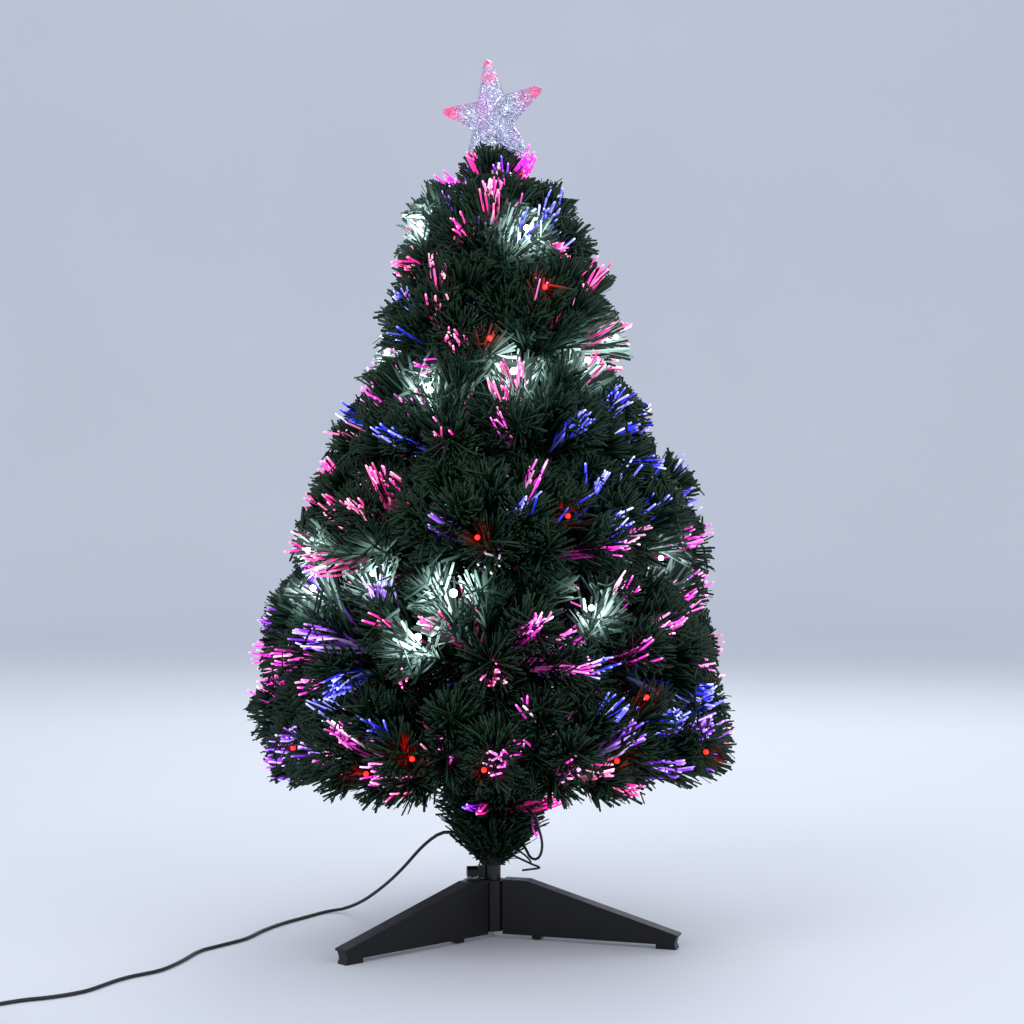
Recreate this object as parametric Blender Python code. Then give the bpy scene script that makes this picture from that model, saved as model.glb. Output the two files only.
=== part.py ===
"""A fibre-optic tabletop Christmas tree, 0.9 m tall: a three-legged stand, a light unit that feeds a bundle
of optical fibres in the trunk tube, six whorls of hinged branches and a clear star that lifts off and turns.

Metres, +Z up. The origin is on the floor under the trunk's axis, and the front of the tree faces -Y.
"""
import math

import bmesh
import bpy
from mathutils import Matrix, Vector

# Gaps and cutters
FIT_GAP = 0.0003
OVERRUN = 0.002
ROUND_SIDES = 24
SMALL_ROUND_SIDES = 12
KNUCKLE_SIDES = 8

# Stand: three hollow legs on the tongues of a hub with a socket
LEG_AZIMUTHS_DEG = {"leg_right": -18.0, "leg_left": -138.0, "leg_rear": 102.0}
LEG_REACH = 0.194
LEG_TOP = 0.060
LEG_LAND = 0.026
LEG_CLEARANCE = 0.0045
LEG_WIDTH = 0.0135
LEG_WALL = 0.0022
LEG_END_HEIGHT = 0.0145
LEG_END_DROP = 0.003
LEG_FLANGE_OVERHANG = 0.0016
LEG_FLANGE_THICKNESS = 0.0018
LEG_RIB_SHARES = (0.38, 0.66)
FOOT_LENGTH = 0.021
FOOT_FLARE = 0.0020
FOOT_FLARE_HEIGHT = 0.0055
NUB_PLACE = 0.0435
NUB_LENGTH = 0.009
NUB_FLOOR_GAP = 0.001
NUB_HEIGHT = 0.009
SOCKET_TOP = 0.0585
SOCKET_BOTTOM = 0.007
SOCKET_WALL = 0.0038
TONGUE_REACH = 0.040
TONGUE_BOTTOM = 0.006

# Clamp screw through a lug on the socket
SCREW_AZIMUTH_DEG = 188.0
SCREW_HEIGHT = 0.0670
SCREW_RADIUS = 0.0022
KNOB_START = 0.0160
KNOB_LENGTH = 0.0110
KNOB_RADIUS = 0.0055
KNOB_GRIP_DEPTH = 0.0009
LUG_REACH = 0.0155
LUG_WIDTH = 0.0080
LUG_TOP = 0.0730
LUG_LEG_GAP = 0.0008

# Light unit at the foot of the trunk
SPIGOT_RADIUS = 0.0080
SPIGOT_LENGTH = 0.062
SPIGOT_WALL = 0.0020
HOUSING_RADIUS = 0.0168
HOUSING_FOOT_RADIUS = 0.0125
HOUSING_TAPER_HEIGHT = 0.0080
HOUSING_WALL = 0.0018
HOUSING_BOTTOM = 0.0745
HOUSING_HEIGHT = 0.050
HOUSING_FLOOR = 0.0085
LEDGE_HEIGHT = 0.0055
LEDGE_DEPTH = 0.0020
BOARD_THICKNESS = 0.0016
LAMP_RADIUS = 0.0042
LAMP_HEIGHT = 0.0070
LID_THICKNESS = 0.0032
LID_NECK_LENGTH = 0.0140
LID_NECK_WALL = 0.0018

# Trunk tube, fibre bundle and ferrule
TRUNK_RADIUS = 0.0120
TRUNK_WALL = 0.0015
TRUNK_ABOVE_WHORLS = 0.070
FERRULE_LENGTH = 0.018
FERRULE_WALL = 0.0018
FERRULE_FLANGE = 0.0024
BUNDLE_TOP_RADIUS = 0.0060
BUNDLE_TOP_GAP = 0.004

# Whorls of branches, from the lowest up
WHORL_SPACING = 0.100
BRANCHES_PER_WHORL = (6, 6, 5, 5, 4, 4)
FIRST_AZIMUTHS_DEG = (0.0, 30.0, 54.0, 18.0, 45.0, 0.0)
ELEVATIONS_DEG = (5.0, 9.0, 13.0, 19.0, 27.0, 38.0)
TREE_REACH = 0.245
WHORL_REACH_SHARES = (0.965, 1.0, 0.865, 0.69, 0.535, 0.38)
TUFT_REACH_SHARES = (1.0, 1.0, 0.96, 0.80, 0.68, 0.84)
TWIGS_PER_BRANCH = (2, 2, 2, 2, 2, 0)

# Collar that carries a whorl
COLLAR_WALL = 0.0072
COLLAR_HEIGHT = 0.0095
SLOT_WIDTH = 0.0052
SLOT_BACK_WALL = 0.0011
KNUCKLE_RADIUS = 0.0023

# Branch: wire stem, side twigs and brushes of needles
STEM_ROOT_RADIUS = 0.0020
STEM_TIP_RADIUS = 0.0014
TUFT_LENGTH = 0.095
TUFT_CORE_RADIUS = 0.0215
TUFT_SPREAD_RADIUS = 0.0350
STRAND_TIP_SHARE = 0.20
TUFT_LENGTH_LIMIT_SHARE = 0.92
BRUSH_START_SHARE = 0.10
BRUSH_WAIST_SHARE = 0.34
BRUSH_WAIST_RADIUS_SHARE = 0.50
BRUSH_CROWN_SHARE = 0.60
BRUSH_CROWN_RISE_SHARE = 0.5
FORK_SHARE = 0.32
TWIG_LENGTH_SHARE = 0.50
TWIG_YAW_DEG = 31.0
TWIG_PITCH_DEG = 10.0
BRUSH_SIDES = 6
TWIG_BRUSH_SIDES = 5

# Inner twig over the stem, with a plain brush
INNER_TWIGS_PER_BRANCH = (1, 1, 1, 1, 1, 0)
INNER_FORK_SHARE = 0.20
INNER_LENGTH_SHARE = 0.46
INNER_PITCH_DEG = 26.0
INNER_BRUSH_WIDTH_SHARE = 0.80
INNER_CROWN_SHARE = 0.66
INNER_SIDES = 4

# Needles on the bare trunk under the lowest whorl
SKIRT_WALL = 0.0060
SKIRT_HEIGHT = 0.02925
SKIRT_BOTTOM_GAP = 0.0015
SKIRT_TOP_GAP = 0.0015
SKIRT_SIDES = 12
SKIRT_REACH = 0.055
SKIRT_REACH_SHARES = (0.55, 0.72, 1.0)
SKIRT_DROP = 0.050
SKIRT_DROP_SHARES = (1.0, 0.48, 0.08)
CORD_SECTOR_DEG = 20.0

# Top tuft, which ends in the wire that the star sits on
LEADER_PLUG_LENGTH = 0.012
LEADER_SHOULDER_HEIGHT = 0.008
LEADER_TAPER_HEIGHT = 0.026
LEADER_WIRE_RADIUS = 0.0025
LEADER_WIRE_LENGTH = 0.022
LEADER_SIDES = 12
LEADER_ROW_SHARE = 0.5
LEADER_STRAND_REACH = 0.009
LEADER_STRAND_RISE = 0.012

# Star, peg and socket
PEG_WALL = 0.0018
PEG_TOP_WALL = 0.0015
PEG_FLANGE_WIDTH = 0.0022
PEG_FLANGE_THICKNESS = 0.0015
SOCKET_TUBE_WALL = 0.0016
STAR_YAW_DEG = -31.0
STAR_ROLL_DEG = -6.0
STAR_NOTCH_CLEARANCE = 0.0205
STAR_REACH = 0.0615
STAR_INNER_SHARE = 0.405
STAR_TIP_HALF_WIDTH = 0.0036
STAR_RIM_DEPTH = 0.0032
STAR_CENTRE_DEPTH = 0.0105
STAR_TIP_DEPTH = 0.0052
STAR_TIP_SPINE_SHARE = 0.90
STAR_WALL = 0.0013
STAR_TUBE_ENTRY = 0.006

# Power lead
CORD_DIAMETER = 0.0035
CORD_EXIT_SHARE = 0.64
RELIEF_LENGTH = 0.022
RELIEF_ROOT_RADIUS = 0.0040
RELIEF_TIP_RADIUS = 0.0024
RELIEF_BORE_RADIUS = 0.0021
CORD_INSIDE_HOUSING = 0.0050
CORD_POINTS = 78
COIL_INNER_RADIUS = 0.0148
COIL_PITCH = 0.0040
COIL_TURNS = 8
COIL_LOOP_POINTS = 24
COIL_LAYER_TURNS = 2
COIL_CLIMB_TURNS = 0.5
COIL_CENTRE = (-0.476, -0.330)
COIL_TAIL_LENGTH = 0.026
TIE_WALL = 0.0012
TIE_WIDTH = 0.006
TIE_CLEARANCE = 0.0006
TIE_AZIMUTH_DEG = 100.0

# Plug-in adapter
ADAPTER_LENGTH = 0.056
ADAPTER_DEPTH = 0.034
ADAPTER_WIDTH = 0.030
ADAPTER_ROUNDING = 0.004
LEAD_NECK_RADIUS = 0.0036
LEAD_NECK_LENGTH = 0.008
LEAD_NECK_DEPTH = 0.004
PIN_SPACING = 0.0190
PIN_RADIUS = 0.0020
PIN_LENGTH = 0.0190
PIN_SEAT = 0.004

# Route of the lead, chosen by hand from the photograph: out of the relief, down to the floor behind the left
# leg, then along the floor to the left and forward, in metres
CORD_FLOOR = CORD_DIAMETER / 2 + 0.0002
COIL_FLOOR = CORD_FLOOR + TIE_WALL + TIE_CLEARANCE
CORD_ROUTE = (
    (-0.0520, 0.0030, 0.1055),
    (-0.0620, 0.0120, 0.0990),
    (-0.0760, 0.0260, 0.0850),
    (-0.0960, 0.0500, 0.0600),
    (-0.1160, 0.0760, 0.0380),
    (-0.1400, 0.1020, 0.0170),
    (-0.1620, 0.1180, 0.0050),
    (-0.1820, 0.1160, CORD_FLOOR),
    (-0.2020, 0.0860, CORD_FLOOR),
    (-0.2230, 0.0525, CORD_FLOOR),
    (-0.2379, 0.0190, CORD_FLOOR),
    (-0.2514, -0.0225, CORD_FLOOR),
    (-0.2740, -0.0560, CORD_FLOOR),
    (-0.2891, -0.0800, CORD_FLOOR),
    (-0.2995, -0.1240, CORD_FLOOR),
    (-0.3133, -0.1620, CORD_FLOOR),
    (-0.3354, -0.1860, CORD_FLOOR),
    (-0.3480, -0.2060, CORD_FLOOR),
    (-0.3640, -0.2400, CORD_FLOOR),
    (-0.3774, -0.2550, CORD_FLOOR),
    (-0.3955, -0.2680, CORD_FLOOR),
    (-0.4130, -0.2760, CORD_FLOOR),
    (-0.4290, -0.2880, CORD_FLOOR),
    (-0.4430, -0.3010, CORD_FLOOR),
    (-0.4515, -0.3150, COIL_FLOOR),
)

# Sizes that follow from the ones above
SOCKET_BORE_RADIUS = SPIGOT_RADIUS + FIT_GAP
SOCKET_RADIUS = SOCKET_BORE_RADIUS + SOCKET_WALL
LEG_START = SOCKET_RADIUS + FIT_GAP
HOUSING_TOP = HOUSING_BOTTOM + HOUSING_HEIGHT
CORD_EXIT_HEIGHT = HOUSING_BOTTOM + HOUSING_HEIGHT * CORD_EXIT_SHARE
LEDGE_TOP = HOUSING_BOTTOM + HOUSING_FLOOR + LEDGE_HEIGHT
LID_BOTTOM = HOUSING_TOP + FIT_GAP
LID_TOP = LID_BOTTOM + LID_THICKNESS
LID_NECK_BOTTOM = LID_TOP - LID_NECK_LENGTH
SKIRT_BOTTOM = LID_TOP + SKIRT_BOTTOM_GAP
SKIRT_TOP = SKIRT_BOTTOM + SKIRT_HEIGHT
LOWEST_WHORL_HEIGHT = SKIRT_TOP + SKIRT_TOP_GAP + COLLAR_HEIGHT / 2
HIGHEST_WHORL_HEIGHT = LOWEST_WHORL_HEIGHT + WHORL_SPACING * (len(BRANCHES_PER_WHORL) - 1)
TRUNK_TOP = HIGHEST_WHORL_HEIGHT + TRUNK_ABOVE_WHORLS
TRUNK_BORE_RADIUS = TRUNK_RADIUS - TRUNK_WALL
FERRULE_RADIUS = TRUNK_BORE_RADIUS - FIT_GAP
FERRULE_BOTTOM = LID_NECK_BOTTOM
TRUNK_BOTTOM = FERRULE_BOTTOM + FERRULE_FLANGE + FIT_GAP
FERRULE_TOP = FERRULE_BOTTOM + FERRULE_LENGTH
BUNDLE_NECK_RADIUS = FERRULE_RADIUS - FERRULE_WALL - FIT_GAP
COLLAR_BORE_RADIUS = TRUNK_RADIUS + FIT_GAP
COLLAR_RADIUS = COLLAR_BORE_RADIUS + COLLAR_WALL
HINGE_RADIUS = COLLAR_BORE_RADIUS + SLOT_BACK_WALL + FIT_GAP + KNUCKLE_RADIUS
LEADER_SHOULDER_BOTTOM = TRUNK_TOP + FIT_GAP
LEADER_SHOULDER_TOP = LEADER_SHOULDER_BOTTOM + LEADER_SHOULDER_HEIGHT
LEADER_TAPER_TOP = LEADER_SHOULDER_TOP + LEADER_TAPER_HEIGHT
LEADER_WIRE_TOP = LEADER_TAPER_TOP + LEADER_WIRE_LENGTH
PEG_BORE_RADIUS = LEADER_WIRE_RADIUS + FIT_GAP
PEG_RADIUS = PEG_BORE_RADIUS + PEG_WALL
PEG_BOTTOM = LEADER_TAPER_TOP + FIT_GAP
PEG_TOP = LEADER_WIRE_TOP + FIT_GAP + PEG_TOP_WALL
SOCKET_TUBE_BORE = PEG_RADIUS + FIT_GAP
SOCKET_TUBE_RADIUS = SOCKET_TUBE_BORE + SOCKET_TUBE_WALL
SOCKET_TUBE_BOTTOM = PEG_BOTTOM + PEG_FLANGE_THICKNESS + FIT_GAP
STAR_NOTCH_HEIGHT = PEG_TOP + STAR_NOTCH_CLEARANCE
STAR_CENTRE_HEIGHT = STAR_NOTCH_HEIGHT + STAR_REACH * STAR_INNER_SHARE
RELIEF_START = HOUSING_RADIUS + FIT_GAP
RELIEF_END = RELIEF_START + RELIEF_LENGTH

COLOURS = {
    "stand": ((0.012, 0.012, 0.014), 0.45, 0.0),
    "housing": ((0.020, 0.022, 0.024), 0.40, 0.0),
    "board": ((0.030, 0.180, 0.070), 0.50, 0.0),
    "metal": ((0.560, 0.560, 0.580), 0.30, 1.0),
    "fibre": ((0.820, 0.700, 0.860), 0.20, 0.0),
    "trunk": ((0.020, 0.045, 0.025), 0.60, 0.0),
    "needles": ((0.018, 0.075, 0.030), 0.55, 0.0),
    "collar": ((0.018, 0.030, 0.020), 0.50, 0.0),
    "star": ((0.850, 0.780, 0.820), 0.10, 0.0),
    "cord": ((0.012, 0.012, 0.012), 0.50, 0.0),
}


def clear_scene():
    for old in list(bpy.data.objects):
        bpy.data.objects.remove(old)


def material(name):
    made = bpy.data.materials.get(name)
    if made:
        return made
    colour, roughness, metallic = COLOURS[name]
    made = bpy.data.materials.new(name)
    made.use_nodes = True
    shader = made.node_tree.nodes["Principled BSDF"]
    shader.inputs["Base Color"].default_value = (*colour, 1.0)
    shader.inputs["Roughness"].default_value = roughness
    shader.inputs["Metallic"].default_value = metallic
    return made


def turned(azimuth_deg):
    return Matrix.Rotation(math.radians(azimuth_deg), 4, "Z")


def mesh_of(bm, name):
    bmesh.ops.recalc_face_normals(bm, faces=bm.faces)
    if bm.calc_volume(signed=True) < 0:
        bmesh.ops.reverse_faces(bm, faces=bm.faces)
    mesh = bpy.data.meshes.new(name)
    bm.to_mesh(mesh)
    bm.free()
    return mesh


def add(name, mesh, finish, place=None):
    made = bpy.data.objects.new(name, mesh)
    if not mesh.materials:
        mesh.materials.append(material(finish))
    bpy.context.scene.collection.objects.link(made)
    if place is not None:
        made.matrix_world = place
    return made


def smooth(mesh, degrees=35.0):
    mesh.shade_smooth()
    mesh.set_sharp_from_angle(angle=math.radians(degrees))


def helper(name, mesh, place=None):
    """A cutter or a piece to be joined, which doesn't become a node."""
    made = bpy.data.objects.new(name, mesh)
    bpy.context.scene.collection.objects.link(made)
    made.hide_render = True
    made.display_type = "WIRE"
    if place is not None:
        made.matrix_world = place
    return made


def bake(target):
    """Keeps what a body's modifiers make as its own mesh."""
    bpy.context.view_layer.update()
    graph = bpy.context.evaluated_depsgraph_get()
    mesh = bpy.data.meshes.new_from_object(target.evaluated_get(graph))
    target.modifiers.clear()
    mesh.name = target.name
    target.data = mesh


def combine(target, operation, others):
    """Joins the others to the target, or cuts them from it."""
    for other in others:
        modifier = target.modifiers.new(operation.lower(), "BOOLEAN")
        modifier.operation = operation
        modifier.object = other
    bake(target)
    for other in others:
        bpy.data.objects.remove(other)


def lathe_bm(points, sides=ROUND_SIDES):
    """A round body from (radius, height) points: a closed ring, or a line from the axis to the axis."""
    bm = bmesh.new()
    verts = [bm.verts.new((radius, 0.0, height)) for radius, height in points]
    pairs = list(zip(verts, verts[1:]))
    on_axis = points[0][0] == 0.0 and points[-1][0] == 0.0
    if not on_axis:
        pairs.append((verts[-1], verts[0]))
    edges = [bm.edges.new(pair) for pair in pairs]
    bmesh.ops.spin(bm, geom=verts + edges, cent=(0, 0, 0), axis=(0, 0, 1), angle=math.tau, steps=sides,
                   use_merge=True)
    bmesh.ops.remove_doubles(bm, verts=bm.verts, dist=FIT_GAP / 1000)
    return bm


def lathe(name, points, sides=ROUND_SIDES):
    return mesh_of(lathe_bm(points, sides), name)


def slab(name, outline, width):
    """An outline in the X-Z plane, extruded to both sides of it by half the width."""
    bm = bmesh.new()
    face = bm.faces.new([bm.verts.new((x, -width / 2, z)) for x, z in outline])
    grown = bmesh.ops.extrude_face_region(bm, geom=[face])
    verts = [item for item in grown["geom"] if isinstance(item, bmesh.types.BMVert)]
    bmesh.ops.translate(bm, verts=verts, vec=(0, width, 0))
    return mesh_of(bm, name)


def leg_top_at(reach):
    """Height of a leg's sloping top above the floor."""
    shoulder = LEG_START + LEG_LAND
    if reach <= shoulder:
        return LEG_TOP
    return LEG_TOP - (reach - shoulder) * (LEG_TOP - LEG_END_HEIGHT) / (LEG_REACH - shoulder)


def make_leg_mesh():
    shoulder = LEG_START + LEG_LAND
    foot_start = LEG_REACH - FOOT_LENGTH
    body = add("leg", slab("leg", (
        (LEG_START, LEG_CLEARANCE),
        (LEG_START, LEG_TOP),
        (shoulder, LEG_TOP),
        (LEG_REACH, LEG_END_HEIGHT),
        (LEG_REACH, LEG_END_HEIGHT - LEG_END_DROP),
        (LEG_REACH - FOOT_FLARE, FOOT_FLARE_HEIGHT),
        (LEG_REACH, 0.0),
        (foot_start, 0.0),
        (foot_start, LEG_CLEARANCE),
    ), LEG_WIDTH), "stand")
    channel = helper("channel", slab("channel", (
        (LEG_START - OVERRUN, -OVERRUN),
        (LEG_START - OVERRUN, LEG_TOP - LEG_WALL),
        (shoulder, LEG_TOP - LEG_WALL),
        (foot_start - LEG_WALL, leg_top_at(foot_start - LEG_WALL) - LEG_WALL),
        (foot_start - LEG_WALL, -OVERRUN),
    ), LEG_WIDTH - 2 * LEG_WALL))
    combine(body, "DIFFERENCE", [channel])
    inside = LEG_WIDTH - LEG_WALL
    additions = [helper("flange", slab("flange", (
        (LEG_START, LEG_TOP - LEG_FLANGE_THICKNESS),
        (LEG_START, LEG_TOP + FIT_GAP),
        (shoulder, LEG_TOP + FIT_GAP),
        (LEG_REACH + LEG_FLANGE_OVERHANG, LEG_END_HEIGHT + FIT_GAP),
        (LEG_REACH + LEG_FLANGE_OVERHANG, LEG_END_HEIGHT - LEG_FLANGE_THICKNESS),
        (shoulder, LEG_TOP - LEG_FLANGE_THICKNESS),
    ), LEG_WIDTH + 2 * LEG_FLANGE_OVERHANG))]
    for number, share in enumerate(LEG_RIB_SHARES):
        place = LEG_START + share * (LEG_REACH - LEG_START)
        additions.append(helper(f"rib_{number}", slab("rib", (
            (place, LEG_CLEARANCE + LEG_WALL),
            (place, leg_top_at(place) - LEG_WALL / 2),
            (place + LEG_WALL, leg_top_at(place + LEG_WALL) - LEG_WALL / 2),
            (place + LEG_WALL, LEG_CLEARANCE + LEG_WALL),
        ), inside)))
    additions.append(helper("nub", slab("nub", (
        (NUB_PLACE, NUB_FLOOR_GAP),
        (NUB_PLACE, NUB_FLOOR_GAP + NUB_HEIGHT),
        (NUB_PLACE + NUB_LENGTH, NUB_FLOOR_GAP + NUB_HEIGHT),
        (NUB_PLACE + NUB_LENGTH, NUB_FLOOR_GAP),
    ), inside)))
    combine(body, "UNION", additions)
    mesh = body.data
    bpy.data.objects.remove(body)
    smooth(mesh)
    return mesh


def make_stand():
    leg_mesh = make_leg_mesh()
    for name, azimuth in LEG_AZIMUTHS_DEG.items():
        add(name, leg_mesh, "stand", turned(azimuth))
    hub = add("stand_hub", lathe("stand_hub", (
        (SOCKET_BORE_RADIUS, SOCKET_BOTTOM),
        (SOCKET_RADIUS, SOCKET_BOTTOM),
        (SOCKET_RADIUS, SOCKET_TOP),
        (SOCKET_BORE_RADIUS, SOCKET_TOP),
    )), "stand")
    tongues = []
    tongue_width = LEG_WIDTH - 2 * LEG_WALL - 2 * FIT_GAP
    below_top = LEG_WALL + FIT_GAP
    for name, azimuth in LEG_AZIMUTHS_DEG.items():
        start = SOCKET_BORE_RADIUS + SOCKET_WALL / 2
        tongues.append(helper(f"tongue_{name}", slab("tongue", (
            (start, TONGUE_BOTTOM + OVERRUN),
            (start, LEG_TOP - below_top),
            (LEG_START + LEG_LAND - FIT_GAP, LEG_TOP - below_top),
            (TONGUE_REACH, leg_top_at(TONGUE_REACH) - below_top),
            (TONGUE_REACH, TONGUE_BOTTOM + OVERRUN),
        ), tongue_width), turned(azimuth)))
    lug = helper("lug", slab("lug", (
        (SOCKET_BORE_RADIUS, SOCKET_BOTTOM + OVERRUN),
        (SOCKET_BORE_RADIUS, LUG_TOP),
        (LUG_REACH, LUG_TOP),
        (LUG_REACH, LEG_TOP + LUG_LEG_GAP),
        (SOCKET_RADIUS - SOCKET_WALL / 2, LEG_TOP + LUG_LEG_GAP),
        (SOCKET_RADIUS - SOCKET_WALL / 2, SOCKET_BOTTOM + OVERRUN),
    ), LUG_WIDTH), turned(SCREW_AZIMUTH_DEG))
    combine(hub, "UNION", tongues + [lug])
    bore = lathe("screw_hole", (
        (0.0, SPIGOT_RADIUS / 2),
        (SCREW_RADIUS + FIT_GAP, SPIGOT_RADIUS / 2),
        (SCREW_RADIUS + FIT_GAP, LUG_REACH + OVERRUN),
        (0.0, LUG_REACH + OVERRUN),
    ), SMALL_ROUND_SIDES)
    combine(hub, "DIFFERENCE", [helper("screw_hole", bore, screw_place())])
    smooth(hub.data)


def screw_place():
    """Turns a body made along +Z so that it points out of the socket at the screw."""
    outward = Matrix.Rotation(math.pi / 2, 4, "Y")
    return Matrix.Translation((0, 0, SCREW_HEIGHT)) @ turned(SCREW_AZIMUTH_DEG) @ outward


def make_clamp_screw():
    tip = SPIGOT_RADIUS + FIT_GAP
    bm = lathe_bm((
        (0.0, tip),
        (SCREW_RADIUS, tip),
        (SCREW_RADIUS, KNOB_START),
        (KNOB_RADIUS, KNOB_START),
        (KNOB_RADIUS, KNOB_START + KNOB_LENGTH),
        (0.0, KNOB_START + KNOB_LENGTH),
    ), SMALL_ROUND_SIDES)
    for vert in bm.verts:
        rim = math.hypot(vert.co.x, vert.co.y) > (KNOB_RADIUS + SCREW_RADIUS) / 2
        step = round(math.atan2(vert.co.y, vert.co.x) / math.tau * SMALL_ROUND_SIDES)
        if rim and step % 2:
            vert.co.xy *= (KNOB_RADIUS - KNOB_GRIP_DEPTH) / KNOB_RADIUS
    place = screw_place()
    add("clamp_screw", mesh_of(bm, "clamp_screw"), "stand", place)


def cord_side():
    """Turns a body made along +Z so that it points to the left, at the height of the lead's exit."""
    return Matrix.Translation((0, 0, CORD_EXIT_HEIGHT)) @ turned(180) @ Matrix.Rotation(math.pi / 2, 4, "Y")


def make_light_unit():
    inside = HOUSING_RADIUS - HOUSING_WALL
    spigot_bore = SPIGOT_RADIUS - SPIGOT_WALL
    spigot_bottom = HOUSING_BOTTOM - SPIGOT_LENGTH
    floor_top = HOUSING_BOTTOM + HOUSING_FLOOR
    housing = add("light_housing", lathe("light_housing", (
        (0.0, HOUSING_BOTTOM),
        (spigot_bore, HOUSING_BOTTOM),
        (spigot_bore, spigot_bottom),
        (SPIGOT_RADIUS, spigot_bottom),
        (SPIGOT_RADIUS, HOUSING_BOTTOM),
        (HOUSING_FOOT_RADIUS, HOUSING_BOTTOM),
        (HOUSING_RADIUS, HOUSING_BOTTOM + HOUSING_TAPER_HEIGHT),
        (HOUSING_RADIUS, HOUSING_TOP),
        (inside, HOUSING_TOP),
        (inside, LEDGE_TOP),
        (inside - LEDGE_DEPTH, LEDGE_TOP),
        (inside - LEDGE_DEPTH, floor_top),
        (0.0, floor_top),
    )), "housing")
    hole = lathe("lead_hole", (
        (0.0, inside - OVERRUN),
        (RELIEF_TIP_RADIUS + FIT_GAP, inside - OVERRUN),
        (RELIEF_TIP_RADIUS + FIT_GAP, HOUSING_RADIUS + OVERRUN),
        (0.0, HOUSING_RADIUS + OVERRUN),
    ), SMALL_ROUND_SIDES)
    combine(housing, "DIFFERENCE", [helper("lead_hole", hole, cord_side())])
    smooth(housing.data)

    neck_bore = TRUNK_RADIUS + FIT_GAP
    neck = neck_bore + LID_NECK_WALL
    lid = lathe("light_housing_lid", (
        (neck_bore, LID_NECK_BOTTOM),
        (neck, LID_NECK_BOTTOM),
        (neck, LID_BOTTOM),
        (HOUSING_RADIUS, LID_BOTTOM),
        (HOUSING_RADIUS, LID_TOP),
        (neck_bore, LID_TOP),
    ))
    smooth(lid)
    add("light_housing_lid", lid, "housing")

    board_bottom = LEDGE_TOP + FIT_GAP
    board_top = board_bottom + BOARD_THICKNESS
    board_radius = inside - FIT_GAP
    board = lathe("led_board", (
        (0.0, board_bottom),
        (board_radius, board_bottom),
        (board_radius, board_top),
        (LAMP_RADIUS, board_top),
        (LAMP_RADIUS, board_top + LAMP_HEIGHT / 2),
        (LAMP_RADIUS / 2, board_top + LAMP_HEIGHT),
        (0.0, board_top + LAMP_HEIGHT),
    ))
    add("led_board", board, "board")


def make_trunk():
    tube = lathe("trunk_tube", (
        (TRUNK_BORE_RADIUS, TRUNK_BOTTOM),
        (TRUNK_RADIUS, TRUNK_BOTTOM),
        (TRUNK_RADIUS, TRUNK_TOP),
        (TRUNK_BORE_RADIUS, TRUNK_TOP),
    ))
    smooth(tube)
    add("trunk_tube", tube, "trunk")

    ferrule_bore = FERRULE_RADIUS - FERRULE_WALL
    ferrule = lathe("fibre_ferrule", (
        (ferrule_bore, FERRULE_BOTTOM),
        (TRUNK_RADIUS, FERRULE_BOTTOM),
        (TRUNK_RADIUS, FERRULE_BOTTOM + FERRULE_FLANGE),
        (FERRULE_RADIUS, FERRULE_BOTTOM + FERRULE_FLANGE),
        (FERRULE_RADIUS, FERRULE_TOP),
        (ferrule_bore, FERRULE_TOP),
    ))
    smooth(ferrule)
    add("fibre_ferrule", ferrule, "metal")

    bundle_top = TRUNK_TOP - LEADER_PLUG_LENGTH - BUNDLE_TOP_GAP
    bundle = lathe("fibre_bundle", (
        (0.0, FERRULE_BOTTOM),
        (BUNDLE_NECK_RADIUS, FERRULE_BOTTOM),
        (BUNDLE_NECK_RADIUS, FERRULE_TOP + FIT_GAP),
        (FERRULE_RADIUS, FERRULE_TOP + FIT_GAP),
        (BUNDLE_TOP_RADIUS, bundle_top),
        (0.0, bundle_top),
    ))
    smooth(bundle)
    add("fibre_bundle", bundle, "fibre")


def whorl_height(whorl):
    return LOWEST_WHORL_HEIGHT + whorl * WHORL_SPACING


def branch_azimuth(whorl, number):
    return FIRST_AZIMUTHS_DEG[whorl] + number * 360.0 / BRANCHES_PER_WHORL[whorl]


def make_collar(whorl):
    height = whorl_height(whorl)
    collar = add(f"branch_collar_{whorl + 1}", lathe("collar", (
        (COLLAR_BORE_RADIUS, height - COLLAR_HEIGHT / 2),
        (COLLAR_RADIUS, height - COLLAR_HEIGHT / 2),
        (COLLAR_RADIUS, height + COLLAR_HEIGHT / 2),
        (COLLAR_BORE_RADIUS, height + COLLAR_HEIGHT / 2),
    )), "collar")
    slot_start = COLLAR_BORE_RADIUS + SLOT_BACK_WALL
    slot_floor = height - KNUCKLE_RADIUS - FIT_GAP
    slots = []
    for number in range(BRANCHES_PER_WHORL[whorl]):
        slots.append(helper(f"slot_{whorl}_{number}", slab("slot", (
            (slot_start, slot_floor),
            (slot_start, height + COLLAR_HEIGHT),
            (COLLAR_RADIUS + OVERRUN, height + COLLAR_HEIGHT),
            (COLLAR_RADIUS + OVERRUN, slot_floor),
        ), SLOT_WIDTH), turned(branch_azimuth(whorl, number))))
    combine(collar, "DIFFERENCE", slots)


def draw_strand(bm, face, target):
    """Draws one face of a backing out into a strand that ends at the target."""
    middle = face.calc_center_median()
    base = list(face.verts)
    tip = [bm.verts.new(target + (vert.co - middle) * STRAND_TIP_SHARE) for vert in base]
    bm.faces.remove(face)
    for (a, b), (c, d) in zip(zip(base, base[1:] + base[:1]), zip(tip, tip[1:] + tip[:1])):
        bm.faces.new((a, b, d, c))
    bm.faces.new(tip)


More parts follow.
